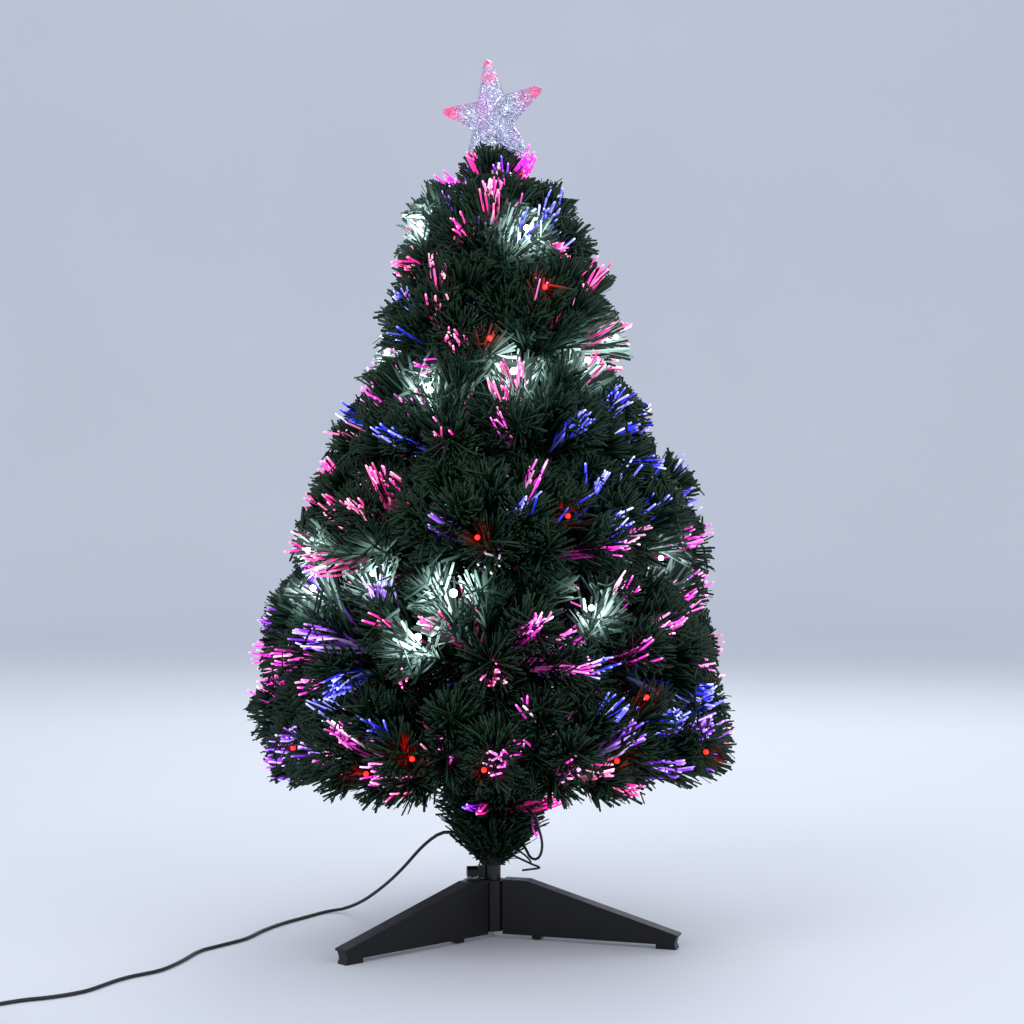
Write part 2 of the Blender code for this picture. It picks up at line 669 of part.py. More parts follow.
def twig(length, tuft, share, sides, root_radius):
    """A wire along +Z with a brush at its end, which swells to a crown and spreads into a ring of strands."""
    core = TUFT_CORE_RADIUS * share
    start = length - tuft
    crown = start + tuft * BRUSH_CROWN_SHARE
    bm = lathe_bm((
        (0.0, 0.0),
        (root_radius, 0.0),
        (STEM_TIP_RADIUS, start + tuft * BRUSH_START_SHARE),
        (core * BRUSH_WAIST_RADIUS_SHARE, start + tuft * BRUSH_WAIST_SHARE),
        (core, crown),
        (0.0, crown + core * BRUSH_CROWN_RISE_SHARE),
    ), sides)
    reach = TUFT_SPREAD_RADIUS * share * (1 - STRAND_TIP_SHARE)
    for face in [face for face in bm.faces if face.calc_center_median().z > crown]:
        middle = face.calc_center_median()
        outward = Vector((middle.x, middle.y, 0.0)).normalized()
        draw_strand(bm, face, outward * reach + Vector((0, 0, length)))
    return bm


def branch_length(whorl):
    reach = TREE_REACH * WHORL_REACH_SHARES[whorl] - HINGE_RADIUS
    spread = TUFT_SPREAD_RADIUS * TUFT_REACH_SHARES[whorl] * STRAND_TIP_SHARE
    return (reach - spread) / math.cos(math.radians(ELEVATIONS_DEG[whorl]))


def inner_twig(length, radius):
    """A plain brush along +Z that widens from its wire to a crown and closes to a point."""
    return lathe("inner_twig", (
        (0.0, 0.0),
        (STEM_TIP_RADIUS, 0.0),
        (radius, length * INNER_CROWN_SHARE),
        (0.0, length),
    ), INNER_SIDES)


def make_branch_mesh(whorl):
    """A branch along +X with its hinge at the origin: a stem with a brush, side and inner twigs and a knuckle."""
    share = TUFT_REACH_SHARES[whorl]
    length = branch_length(whorl)
    tuft = min(TUFT_LENGTH * share, length * TUFT_LENGTH_LIMIT_SHARE)
    along = Matrix.Rotation(math.pi / 2, 4, "Y")
    stem = mesh_of(twig(length, tuft, share, BRUSH_SIDES, STEM_ROOT_RADIUS), "stem")
    body = add("branch", stem, "needles", along)
    others = []
    for number in range(TWIGS_PER_BRANCH[whorl]):
        side = 1 - 2 * number
        direction = (
            Matrix.Translation((length * FORK_SHARE, 0, 0))
            @ Matrix.Rotation(side * math.radians(TWIG_YAW_DEG), 4, "Z")
            @ Matrix.Rotation(-side * math.radians(TWIG_PITCH_DEG), 4, "Y")
        )
        side_length = length * TWIG_LENGTH_SHARE
        side_tuft = min(tuft, side_length * TUFT_LENGTH_LIMIT_SHARE)
        side_mesh = mesh_of(twig(side_length, side_tuft, share, TWIG_BRUSH_SIDES, STEM_TIP_RADIUS), "twig")
        others.append(helper(f"twig_{number}", side_mesh, direction @ along))
    if INNER_TWIGS_PER_BRANCH[whorl]:
        inner_mesh = inner_twig(length * INNER_LENGTH_SHARE, TUFT_CORE_RADIUS * share * INNER_BRUSH_WIDTH_SHARE)
        fork = Matrix.Translation((length * INNER_FORK_SHARE, 0, 0))
        raised = Matrix.Rotation(-math.radians(INNER_PITCH_DEG), 4, "Y")
        others.append(helper("inner_twig", inner_mesh, fork @ raised @ along))
    knuckle = lathe("knuckle", (
        (0.0, FIT_GAP - SLOT_WIDTH / 2),
        (KNUCKLE_RADIUS, FIT_GAP - SLOT_WIDTH / 2),
        (KNUCKLE_RADIUS, SLOT_WIDTH / 2 - FIT_GAP),
        (0.0, SLOT_WIDTH / 2 - FIT_GAP),
    ), KNUCKLE_SIDES)
    others.append(helper("knuckle", knuckle, Matrix.Rotation(math.pi / 2, 4, "X")))
    combine(body, "UNION", others)
    mesh = body.data
    mesh.transform(body.matrix_world)
    bpy.data.objects.remove(body)
    smooth(mesh)
    return mesh


def make_branches():
    for whorl, count in enumerate(BRANCHES_PER_WHORL):
        mesh = make_branch_mesh(whorl)
        up = Matrix.Rotation(-math.radians(ELEVATIONS_DEG[whorl]), 4, "Y")
        for number in range(count):
            hinge = Matrix.Translation((HINGE_RADIUS, 0, whorl_height(whorl)))
            place = turned(branch_azimuth(whorl, number)) @ hinge @ up
            add(f"branch_{whorl + 1}_{number + 1}", mesh, "needles", place)


def polar(radius, azimuth, height):
    return Vector((radius * math.cos(azimuth), radius * math.sin(azimuth), height))


def make_skirt():
    """A sleeve on the trunk with rows of drooping strands, which part on the left for the lead."""
    inner = (TRUNK_RADIUS + FIT_GAP) / math.cos(math.pi / SKIRT_SIDES)
    outer = inner + SKIRT_WALL
    rows = len(SKIRT_REACH_SHARES)
    row_height = SKIRT_HEIGHT / rows
    wall = tuple((outer, SKIRT_BOTTOM + row_height * row) for row in range(rows + 1))
    bm = lathe_bm(((inner, SKIRT_BOTTOM),) + wall + ((inner, SKIRT_TOP),), SKIRT_SIDES)
    for face in list(bm.faces):
        start = face.calc_center_median()
        on_end = min(start.z - SKIRT_BOTTOM, SKIRT_TOP - start.z) < FIT_GAP
        if on_end or math.hypot(start.x, start.y) < inner:
            continue
        row = int((start.z - SKIRT_BOTTOM) / row_height)
        azimuth = math.atan2(start.y, start.x)
        beside_lead = math.pi - abs(azimuth) < math.radians(CORD_SECTOR_DEG)
        if row == rows - 1 or not beside_lead:
            height = start.z - SKIRT_DROP * SKIRT_DROP_SHARES[row]
            draw_strand(bm, face, polar(SKIRT_REACH * SKIRT_REACH_SHARES[row], azimuth, height))
    add("trunk_skirt", mesh_of(bm, "trunk_skirt"), "needles")


def make_leader():
    """A tuft plugged into the trunk's top, with one row of strands, and the wire for the star's peg."""
    plug_radius = TRUNK_BORE_RADIUS - FIT_GAP
    row_radius = TRUNK_RADIUS + (LEADER_WIRE_RADIUS - TRUNK_RADIUS) * LEADER_ROW_SHARE
    row_top = LEADER_SHOULDER_TOP + LEADER_TAPER_HEIGHT * LEADER_ROW_SHARE
    bm = lathe_bm((
        (0.0, TRUNK_TOP - LEADER_PLUG_LENGTH),
        (plug_radius, TRUNK_TOP - LEADER_PLUG_LENGTH),
        (plug_radius, LEADER_SHOULDER_BOTTOM),
        (TRUNK_RADIUS, LEADER_SHOULDER_BOTTOM),
        (TRUNK_RADIUS, LEADER_SHOULDER_TOP),
        (row_radius, row_top),
        (LEADER_WIRE_RADIUS, LEADER_TAPER_TOP),
        (LEADER_WIRE_RADIUS, LEADER_WIRE_TOP),
        (0.0, LEADER_WIRE_TOP),
    ), LEADER_SIDES)
    for face in list(bm.faces):
        start = face.calc_center_median()
        if LEADER_SHOULDER_TOP + FIT_GAP < start.z < row_top - FIT_GAP:
            radius = math.hypot(start.x, start.y) + LEADER_STRAND_REACH
            azimuth = math.atan2(start.y, start.x)
            draw_strand(bm, face, polar(radius, azimuth, start.z + LEADER_STRAND_RISE))
    add("leader_tuft", mesh_of(bm, "leader_tuft"), "needles")


def star_outline():
    """The star's edge in its own X-Z plane: a blunt tip and a notch for each of five arms."""
    points = []
    inner = STAR_REACH * STAR_INNER_SHARE
    for arm in range(5):
        angle = math.pi / 2 + arm * math.tau / 5
        along = Vector((math.cos(angle), math.sin(angle)))
        across = Vector((-math.sin(angle), math.cos(angle)))
        shoulder = along * (STAR_REACH - STAR_TIP_HALF_WIDTH)
        points.append(shoulder - across * STAR_TIP_HALF_WIDTH)
        points.append(along * STAR_REACH)
        points.append(shoulder + across * STAR_TIP_HALF_WIDTH)
        notch = angle + math.tau / 10
        points.append(Vector((math.cos(notch), math.sin(notch))) * inner)
    return points


def star_shell(name, side):
    """One half of the hollow star, on the side of its middle plane that Y times side is on."""
    bm = bmesh.new()
    edge = star_outline()
    middle_gap = side * FIT_GAP / 2
    rim = [bm.verts.new((p.x, middle_gap, p.y)) for p in edge]
    wall = [bm.verts.new((p.x, side * STAR_RIM_DEPTH, p.y)) for p in edge]
    centre = bm.verts.new((0.0, side * STAR_CENTRE_DEPTH, 0.0))
    count = len(edge)
    for i in range(count):
        j = (i + 1) % count
        bm.faces.new((rim[i], rim[j], wall[j], wall[i]))
    for arm in range(5):
        first = 4 * arm
        left, tip, right = (wall[first + k] for k in range(3))
        notch, before = wall[first + 3], wall[(first - 1) % count]
        spine = Vector((tip.co.x, 0.0, tip.co.z)) * STAR_TIP_SPINE_SHARE
        ridge = bm.verts.new((spine.x, side * STAR_TIP_DEPTH, spine.z))
        bm.faces.new((before, left, ridge, centre))
        bm.faces.new((left, tip, ridge))
        bm.faces.new((tip, right, ridge))
        bm.faces.new((right, notch, centre, ridge))
    bmesh.ops.triangulate(bm, faces=bm.faces)
    bmesh.ops.recalc_face_normals(bm, faces=bm.faces)
    outward = sum((f.normal.dot(f.calc_center_median()) for f in bm.faces))
    if outward < 0:
        bmesh.ops.reverse_faces(bm, faces=bm.faces)
    mesh = bpy.data.meshes.new(name)
    bm.to_mesh(mesh)
    bm.free()
    made = add(name, mesh, "star")
    shell = made.modifiers.new("wall", "SOLIDIFY")
    shell.thickness = STAR_WALL
    shell.offset = -1.0
    shell.use_even_offset = False
    bake(made)
    roll = Matrix.Rotation(math.radians(STAR_ROLL_DEG), 4, "Y")
    made.matrix_world = Matrix.Translation((0, 0, STAR_CENTRE_HEIGHT)) @ turned(STAR_YAW_DEG) @ roll
    return made


def make_star():
    peg = lathe("star_peg", (
        (0.0, LEADER_WIRE_TOP + FIT_GAP),
        (PEG_BORE_RADIUS, LEADER_WIRE_TOP + FIT_GAP),
        (PEG_BORE_RADIUS, PEG_BOTTOM),
        (PEG_RADIUS + PEG_FLANGE_WIDTH, PEG_BOTTOM),
        (PEG_RADIUS + PEG_FLANGE_WIDTH, PEG_BOTTOM + PEG_FLANGE_THICKNESS),
        (PEG_RADIUS, PEG_BOTTOM + PEG_FLANGE_THICKNESS),
        (PEG_RADIUS, PEG_TOP),
        (0.0, PEG_TOP),
    ), SMALL_ROUND_SIDES)
    add("star_peg", peg, "star")

    tube_top = STAR_NOTCH_HEIGHT + STAR_TUBE_ENTRY
    roof = PEG_TOP + FIT_GAP
    front, back = star_shell("star_front", -1), star_shell("star_back", 1)
    room = lathe("tube_room", (
        (0.0, SOCKET_TUBE_BOTTOM),
        (SOCKET_TUBE_RADIUS + FIT_GAP, SOCKET_TUBE_BOTTOM),
        (SOCKET_TUBE_RADIUS + FIT_GAP, tube_top + FIT_GAP),
        (0.0, tube_top + FIT_GAP),
    ), SMALL_ROUND_SIDES)
    combine(front, "DIFFERENCE", [helper("tube_room", room)])
    tube = lathe("socket_tube", (
        (0.0, roof),
        (SOCKET_TUBE_BORE, roof),
        (SOCKET_TUBE_BORE, SOCKET_TUBE_BOTTOM),
        (SOCKET_TUBE_RADIUS, SOCKET_TUBE_BOTTOM),
        (SOCKET_TUBE_RADIUS, tube_top),
        (0.0, tube_top),
    ), SMALL_ROUND_SIDES)
    combine(back, "UNION", [helper("socket_tube", tube)])


def smooth_line(points, count):
    """Evenly spaced points on a smooth curve through the given ones."""
    points = [Vector(p) for p in points]
    ends = [2 * points[0] - points[1]] + points + [2 * points[-1] - points[-2]]
    fine = []
    for a, b, c, d in zip(ends, ends[1:], ends[2:], ends[3:]):
        for step in range(20):
            t = step / 20
            fine.append(0.5 * (2 * b + (c - a) * t + (2 * a - 5 * b + 4 * c - d) * t * t
                               + (3 * b - a - 3 * c + d) * t ** 3))
    fine.append(points[-1])
    lengths = [0.0]
    for a, b in zip(fine, fine[1:]):
        lengths.append(lengths[-1] + (b - a).length)
    line, place = [], 0
    for step in range(count):
        want = lengths[-1] * step / (count - 1)
        while place < len(fine) - 2 and lengths[place + 1] < want:
            place += 1
        span = lengths[place + 1] - lengths[place]
        line.append(fine[place].lerp(fine[place + 1], (want - lengths[place]) / span if span else 0.0))
    return line


def tube(name, line, resolution):
    data = bpy.data.curves.new(name, "CURVE")
    data.dimensions = "3D"
    data.bevel_depth = CORD_DIAMETER / 2
    data.bevel_resolution = resolution
    data.use_fill_caps = True
    spline = data.splines.new("POLY")
    spline.points.add(len(line) - 1)
    for point, place in zip(spline.points, line):
        point.co = (*place, 1.0)
    data.materials.append(material("cord"))
    made = bpy.data.objects.new(name, data)
    bpy.context.scene.collection.objects.link(made)
    return made


def cord_line():
    """The lead from inside the light unit, through the relief and along the floor to its coil."""
    start = Vector((HOUSING_WALL + CORD_INSIDE_HOUSING - HOUSING_RADIUS, 0.0, CORD_EXIT_HEIGHT))
    straight = Vector((-RELIEF_END, 0.0, CORD_EXIT_HEIGHT))
    end = coil_line()[0] + Vector((0.0, FIT_GAP, 0.0))
    before_end = end + Vector((0.0, CORD_DIAMETER, 0.0))
    return smooth_line((start, straight) + CORD_ROUTE + (before_end, end), CORD_POINTS)


def coil_line():
    """Clockwise turns that spiral in on the floor, out again on top of them, and so on up."""
    outer = COIL_INNER_RADIUS + COIL_PITCH * COIL_LAYER_TURNS
    centre = Vector((*COIL_CENTRE, COIL_FLOOR))
    line = [centre + Vector((outer, CORD_DIAMETER, 0.0))]
    for step in range(COIL_TURNS * COIL_LOOP_POINTS + 1):
        turn = step / COIL_LOOP_POINTS
        layer = min(int(turn / COIL_LAYER_TURNS), COIL_TURNS // COIL_LAYER_TURNS - 1)
        along = COIL_PITCH * (turn - layer * COIL_LAYER_TURNS)
        radius = COIL_INNER_RADIUS + along if layer % 2 else outer - along
        boundary = round(turn / COIL_LAYER_TURNS)
        level = layer
        if 0 < boundary < COIL_TURNS // COIL_LAYER_TURNS:
            past = (turn - boundary * COIL_LAYER_TURNS) / COIL_CLIMB_TURNS
            level = boundary - 0.5 + max(-0.5, min(0.5, past))
        angle = -turn * math.tau
        line.append(centre + Vector((radius * math.cos(angle), radius * math.sin(angle), level * COIL_PITCH)))
    line.append(line[-1] - Vector((0.0, COIL_TAIL_LENGTH, 0.0)))
    return line


def least_coil_gap(line):
    """The least gap between two turns of the coil, over all its points a quarter turn or more apart."""
    apart = COIL_LOOP_POINTS // 4
    return min(
        (a - b).length
        for i, a in enumerate(line)
        for b in line[i + apart:]
    ) - CORD_DIAMETER


def make_cord():
    relief = lathe("cord_relief", (
        (RELIEF_BORE_RADIUS, HOUSING_RADIUS - HOUSING_WALL),
        (RELIEF_TIP_RADIUS, HOUSING_RADIUS - HOUSING_WALL),
        (RELIEF_TIP_RADIUS, RELIEF_START),
        (RELIEF_ROOT_RADIUS, RELIEF_START),
        (RELIEF_ROOT_RADIUS, RELIEF_START + RELIEF_TIP_RADIUS),
        (RELIEF_TIP_RADIUS, RELIEF_END),
        (RELIEF_BORE_RADIUS, RELIEF_END),
    ), SMALL_ROUND_SIDES)
    add("cord_relief", relief, "cord", cord_side())
    tube("power_cord", cord_line(), 2)
    coil = coil_line()
    tube("power_cord_coil", coil, 1)
    print(f"least gap in the coil: {least_coil_gap(coil) * 1000:.2f} mm")


def make_tie():
    """A flat band around the turns of the coil."""
    inner = COIL_INNER_RADIUS - CORD_DIAMETER / 2 - TIE_CLEARANCE
    outer = COIL_INNER_RADIUS + COIL_PITCH * COIL_LAYER_TURNS + CORD_DIAMETER / 2 + TIE_CLEARANCE
    bottom = COIL_FLOOR - CORD_DIAMETER / 2 - TIE_CLEARANCE
    layers = COIL_TURNS // COIL_LAYER_TURNS
    top = COIL_FLOOR + COIL_PITCH * (layers - 1) + CORD_DIAMETER / 2 + TIE_CLEARANCE
    place = Matrix.Translation((*COIL_CENTRE, 0.0)) @ turned(TIE_AZIMUTH_DEG)
    band = add("cord_tie", slab("cord_tie", (
        (inner - TIE_WALL, bottom - TIE_WALL),
        (inner - TIE_WALL, top + TIE_WALL),
        (outer + TIE_WALL, top + TIE_WALL),
        (outer + TIE_WALL, bottom - TIE_WALL),
    ), TIE_WIDTH), "cord", place)
    opening = slab("tie_opening", (
        (inner, bottom),
        (inner, top),
        (outer, top),
        (outer, bottom),
    ), TIE_WIDTH + OVERRUN)
    combine(band, "DIFFERENCE", [helper("tie_opening", opening, place)])


def make_adapter():
    """The plug-in adapter, which lies on its side at the end of the lead with its pins to the left."""
    lead_end = coil_line()[-1]
    bm = bmesh.new()
    bmesh.ops.create_cube(bm, size=1.0)
    bmesh.ops.scale(bm, verts=bm.verts, vec=(ADAPTER_DEPTH, ADAPTER_LENGTH, ADAPTER_WIDTH))
    bmesh.ops.bevel(bm, geom=bm.edges, offset=ADAPTER_ROUNDING, segments=2, affect="EDGES", profile=0.5)
    end_face = lead_end.y + LEAD_NECK_DEPTH - LEAD_NECK_LENGTH
    centre = Vector((lead_end.x, end_face - ADAPTER_LENGTH / 2, ADAPTER_WIDTH / 2))
    case = add("adapter_case", mesh_of(bm, "adapter_case"), "housing", Matrix.Translation(centre))
    neck = lathe("lead_neck", (
        (0.0, -OVERRUN),
        (LEAD_NECK_RADIUS, -OVERRUN),
        (LEAD_NECK_RADIUS, LEAD_NECK_LENGTH),
        (CORD_DIAMETER / 2 + FIT_GAP, LEAD_NECK_LENGTH),
        (CORD_DIAMETER / 2 + FIT_GAP, LEAD_NECK_LENGTH - LEAD_NECK_DEPTH - FIT_GAP),
        (0.0, LEAD_NECK_LENGTH - LEAD_NECK_DEPTH - FIT_GAP),
    ), SMALL_ROUND_SIDES)
    backward = Matrix.Rotation(-math.pi / 2, 4, "X")
    neck_place = Matrix.Translation((lead_end.x, end_face, lead_end.z)) @ backward
    combine(case, "UNION", [helper("lead_neck", neck, neck_place)])
    leftward = Matrix.Rotation(-math.pi / 2, 4, "Y")
    holes = []
    for number, side in enumerate((-1, 1)):
        face = centre.x - ADAPTER_DEPTH / 2
        seat = (face + PIN_SEAT, centre.y + side * PIN_SPACING / 2, centre.z)
        place = Matrix.Translation(seat) @ leftward
        hole = lathe("pin_hole", (
            (0.0, 0.0),
            (PIN_RADIUS + FIT_GAP, 0.0),
            (PIN_RADIUS + FIT_GAP, PIN_SEAT + OVERRUN),
            (0.0, PIN_SEAT + OVERRUN),
        ), SMALL_ROUND_SIDES)
        holes.append(helper(f"pin_hole_{number}", hole, place))
        pin = lathe("pin", (
            (0.0, FIT_GAP),
            (PIN_RADIUS, FIT_GAP),
            (PIN_RADIUS, PIN_SEAT + PIN_LENGTH - PIN_RADIUS),
            (PIN_RADIUS / 2, PIN_SEAT + PIN_LENGTH),
            (0.0, PIN_SEAT + PIN_LENGTH),
        ), SMALL_ROUND_SIDES)
        add(f"adapter_pin_{number + 1}", pin, "metal", place)
    combine(case, "DIFFERENCE", holes)
    smooth(case.data)


def main():
    clear_scene()
    make_stand()
    make_clamp_screw()
    make_light_unit()
    make_trunk()
    for whorl in range(len(BRANCHES_PER_WHORL)):
        make_collar(whorl)
    make_branches()
    make_skirt()
    make_leader()
    make_star()
    make_cord()
    make_tie()
    make_adapter()


main()
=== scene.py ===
import math

import bmesh
import bpy
import numpy as np
from mathutils import Matrix, Vector


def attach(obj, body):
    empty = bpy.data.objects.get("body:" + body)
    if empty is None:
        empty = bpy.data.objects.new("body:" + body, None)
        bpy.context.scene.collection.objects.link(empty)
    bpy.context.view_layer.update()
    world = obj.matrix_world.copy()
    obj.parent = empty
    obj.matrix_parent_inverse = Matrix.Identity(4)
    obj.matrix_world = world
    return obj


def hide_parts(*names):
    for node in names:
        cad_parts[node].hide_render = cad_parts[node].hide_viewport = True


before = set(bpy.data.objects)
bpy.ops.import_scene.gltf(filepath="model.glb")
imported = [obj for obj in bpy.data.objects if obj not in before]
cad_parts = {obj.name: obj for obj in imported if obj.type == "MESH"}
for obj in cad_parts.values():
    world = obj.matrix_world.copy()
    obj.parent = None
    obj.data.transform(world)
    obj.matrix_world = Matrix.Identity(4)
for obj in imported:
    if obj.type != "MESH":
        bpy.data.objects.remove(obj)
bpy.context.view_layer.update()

# Camera, level and in front of the tree. Lengths are in metres where nothing else is said
CAMERA_PLACE = (0.0195, -2.05, 0.4349)
PHOTO_SIDE = 1024
FOCAL_PIXELS = 1999.0
SENSOR_WIDTH = 36.0

# Tree, as the solids have it
WHORL_HEIGHTS = (0.165, 0.265, 0.365, 0.465, 0.565, 0.665)
BRANCHES_PER_WHORL = (6, 6, 5, 5, 4, 4)
FIRST_AZIMUTHS_DEG = (0.0, 30.0, 54.0, 18.0, 45.0, 0.0)
ELEVATIONS_DEG = (5.0, 9.0, 13.0, 19.0, 27.0, 38.0)
TREE_REACH = 0.245
WHORL_REACH_SHARES = (0.965, 1.0, 0.865, 0.69, 0.535, 0.38)
TUFT_REACH_SHARES = (1.0, 1.0, 0.96, 0.80, 0.68, 0.84)
HINGE_RADIUS = 0.0160
TUFT_LENGTH = 0.095
TUFT_RADIUS = 0.0350
STRAND_TIP_SHARE = 0.20
KNUCKLE_RADIUS = 0.0023
KNUCKLE_WIDTH = 0.0046

# Outline of the tree in millimetres: height, half width on the left, on the right, and at the turns between them
TREE_OUTLINE = np.array((
    (130, 80, 70, 95), (150, 125, 135, 150), (170, 185, 195, 205), (181, 210, 221, 220), (191, 233, 241, 234),
    (205, 246, 254, 241), (222, 247, 255, 244), (242, 251, 253, 247), (255, 254, 255, 247), (268, 257, 249, 245),
    (283, 248, 247, 242), (293, 240, 246, 240), (304, 243, 241, 238), (324, 246, 237, 234), (345, 248, 235, 228),
    (357, 243, 231, 225), (375, 237, 228, 220), (396, 229, 219, 214), (411, 207, 215, 210), (427, 198, 206, 205),
    (440, 185, 205, 200), (457, 179, 201, 190), (470, 180, 210, 182), (485, 182, 228, 169), (498, 186, 217, 164),
    (512, 167, 171, 162), (540, 157, 160, 144), (553, 149, 154, 135), (572, 130, 104, 129), (590, 135, 124, 136),
    (611, 125, 144, 134), (624, 114, 135, 129), (640, 102, 120, 124), (652, 100, 114, 120), (673, 101, 101, 115),
    (685, 96, 109, 112), (700, 84, 126, 110), (714, 94, 120, 105), (734, 91, 102, 90), (747, 84, 83, 78),
    (757, 77, 62, 70), (770, 58, 50, 58), (800, 27, 28, 30),
)) / 1000

# How thick the stems' own brushes are, whorl by whorl
STEM_BRUSH_SHARES = (0.8, 1.0, 1.0, 1.0, 1.0, 1.0)

# Tips of a branch's twigs, whorl by whorl: angle from the stem, rise above the stem's tip in millimetres, percentage
# of the outline's width, and where the twig leaves the stem as a percentage of it
TWIG_TIPS = (
    (
        (20, 26, 98, 32), (-20, 28, 98, 32), (10, 5, 97, 36), (-11, 7, 97, 36), (30, 24, 96, 30),
        (-30, 36, 98, 30), (-10, 38, 99, 40), (10, 34, 99, 40), (-20, 74, 92.5, 36), (0, 76, 93.5, 44),
        (20, 72, 92.5, 36), (28, 20, 62, 16), (-14, 50, 60, 16), (-26, 0, 60, 20), (8, 70, 36, 8),
    ),
    (
        (20, -10, 99, 32), (-20, 8, 98, 32), (30, -30, 92, 30), (2, -34, 93, 36), (-30, 36, 98, 30),
        (-10, 40, 99, 40), (10, 36, 99, 40), (-20, 74, 92.5, 36), (0, 72, 93.5, 44), (20, 76, 92.5, 36),
        (28, 20, 62, 16), (-14, 50, 60, 16), (6, 66, 38, 8),
    ),
    (
        (18, -8, 99, 32), (-18, 6, 98, 32), (36, 0, 97, 28), (-27, 36, 98, 34), (-9, 38, 99, 40),
        (9, 34, 99, 40), (28, 38, 98, 34), (-36, 72, 92.5, 30), (-18, 74, 92.5, 36), (0, 70, 93.5, 42),
        (18, 74, 92.5, 36), (30, 18, 58, 16), (-10, 50, 55, 16), (8, 20, 36, 8), (-34, -38, 62, 16),
    ),
    (
        (24, -8, 99, 30), (-24, 4, 98, 30), (-36, 34, 98, 28), (-12, 36, 99, 38), (12, 32, 99, 38),
        (-24, 70, 92.5, 34), (0, 68, 93.5, 42), (24, 72, 92.5, 34), (34, -30, 84, 25), (10, 34, 50, 16),
        (-30, 0, 50, 10),
    ),
    (
        (30, -6, 98, 28), (-30, 6, 98, 28), (-45, 34, 97, 24), (-15, 36, 98, 36), (15, 32, 99, 36),
        (-30, 66, 91.5, 30), (0, 68, 92.5, 40), (30, 64, 91.5, 30), (44, -28, 90, 20), (8, -34, 84, 25),
    ),
    (
        (30, -12, 97, 25), (-30, -4, 97, 25), (-45, 26, 95, 22), (-14, 34, 95, 40), (18, 30, 98, 36),
        (10, -44, 90, 25), (44, -40, 94, 20), (-30, 50, 86, 50), (30, 54, 86, 45),
    ),
)
TWIG_TUFT_SHARE = 0.94
TWIG_WIRE_RADIUS = 0.0019

# Needles: the front ones end on the brush's blunt face, the side ones round it, the low ones sit on the bare wire
NEEDLE_WIDTH = 0.0031
NEEDLE_WIDTH_SPREAD = (0.75, 1.15)
NEEDLE_THICKNESS = 0.0010
NEEDLE_BEND = 2.5
LONGEST_NEEDLE = 0.070
TUFT_NEEDLES = 150
FRONT_NEEDLE_SHARE = 0.58
FRONT_ROOT_DEPTHS = (0.034, 0.074)
FRONT_BULGE = 0.006
FRONT_RAGGEDNESS = 0.004
SIDE_ROOT_DEPTHS = (0.036, 1.0)
SIDE_FORWARDS = (0.036, 0.058)
BARE_WIRE = 0.012
LOW_NEEDLES_PER_METRE = 800
LOW_NEEDLE_LENGTH = 0.040
LOW_NEEDLE_TILTS = (0.55, 0.95)
FULL_GROWN_FROM = 0.06
LEADER_NEEDLES = 560
SKIRT_NEEDLES = 1250

# Light fibres: how many a twig carries, and how often, on the sides and foot of the tree and on its front
FIBRE_RADIUS = 0.00105
BUNDLE_SIZES = (0, 5, 10, 18)
SIDE_CHANCES = (0.08, 0.20, 0.32, 0.40)
FRONT_CHANCES = (0.26, 0.28, 0.27, 0.19)

# Their glows, and where on the front each shows: a bundle has that of the nearest of these pixels
GLOWS = {
    "pink": ((1.0, 0.016, 0.36), (
        (490, 165), (425, 250), (430, 305), (590, 290), (470, 320), (455, 420), (345, 475), (320, 520), (390, 470),
        (400, 665), (510, 640), (400, 750), (620, 770),
    )),
    "magenta": ((0.88, 0.015, 0.62), (
        (525, 175), (525, 295), (410, 390), (525, 435), (640, 545), (560, 610), (300, 640), (640, 650), (700, 660),
        (690, 610), (560, 690), (330, 765), (470, 765), (540, 780), (265, 690),
    )),
    "violet": ((0.28, 0.015, 1.0), ((440, 190), (440, 485), (310, 600), (290, 740), (690, 740))),
    "blue": ((0.015, 0.015, 1.0), (
        (570, 215), (405, 310), (400, 430), (600, 450), (570, 505), (665, 490), (690, 470), (340, 690), (625, 700),
        (715, 700),
    )),
    "dark": ((0.030, 0.005, 0.10), (
        (480, 250), (450, 350), (545, 410), (500, 470), (420, 515), (540, 560), (480, 695), (420, 715), (560, 735),
        (600, 625),
    )),
}

# Bundles on the leader and in the skirt, in tenths of a millimetre: start, end, spread, glow and number
LEADER_ROOT = (40, -30, 7420)
LEADER_BUNDLES = tuple((LEADER_ROOT, tip, 45, glow, number) for tip, glow, number in (
    ((360, -160, 7960), "magenta", 16), ((300, -220, 7780), "pink", 10), ((120, -300, 7720), "blue", 5),
    ((-230, -140, 7980), "pink", 9), ((-300, 140, 7900), "violet", 8), ((140, 320, 7880), "magenta", 9),
    ((-520, -140, 7720), "magenta", 9), ((80, -320, 7900), "violet", 4),
))
SKIRT_BUNDLES = (
    ((-80, -180, 1380), (-260, -560, 1410), 30, "violet", 6), ((-40, -180, 1360), (-120, -570, 1370), 25, "pink", 4),
    ((140, -180, 1320), (720, -240, 1480), 40, "pink", 9), ((410, -280, 1310), (445, -340, 1075), 7, "magenta", 2),
    ((100, 180, 1340), (360, 440, 1420), 30, "magenta", 6), ((-120, 180, 1340), (-400, 400, 1400), 30, "blue", 6),
)

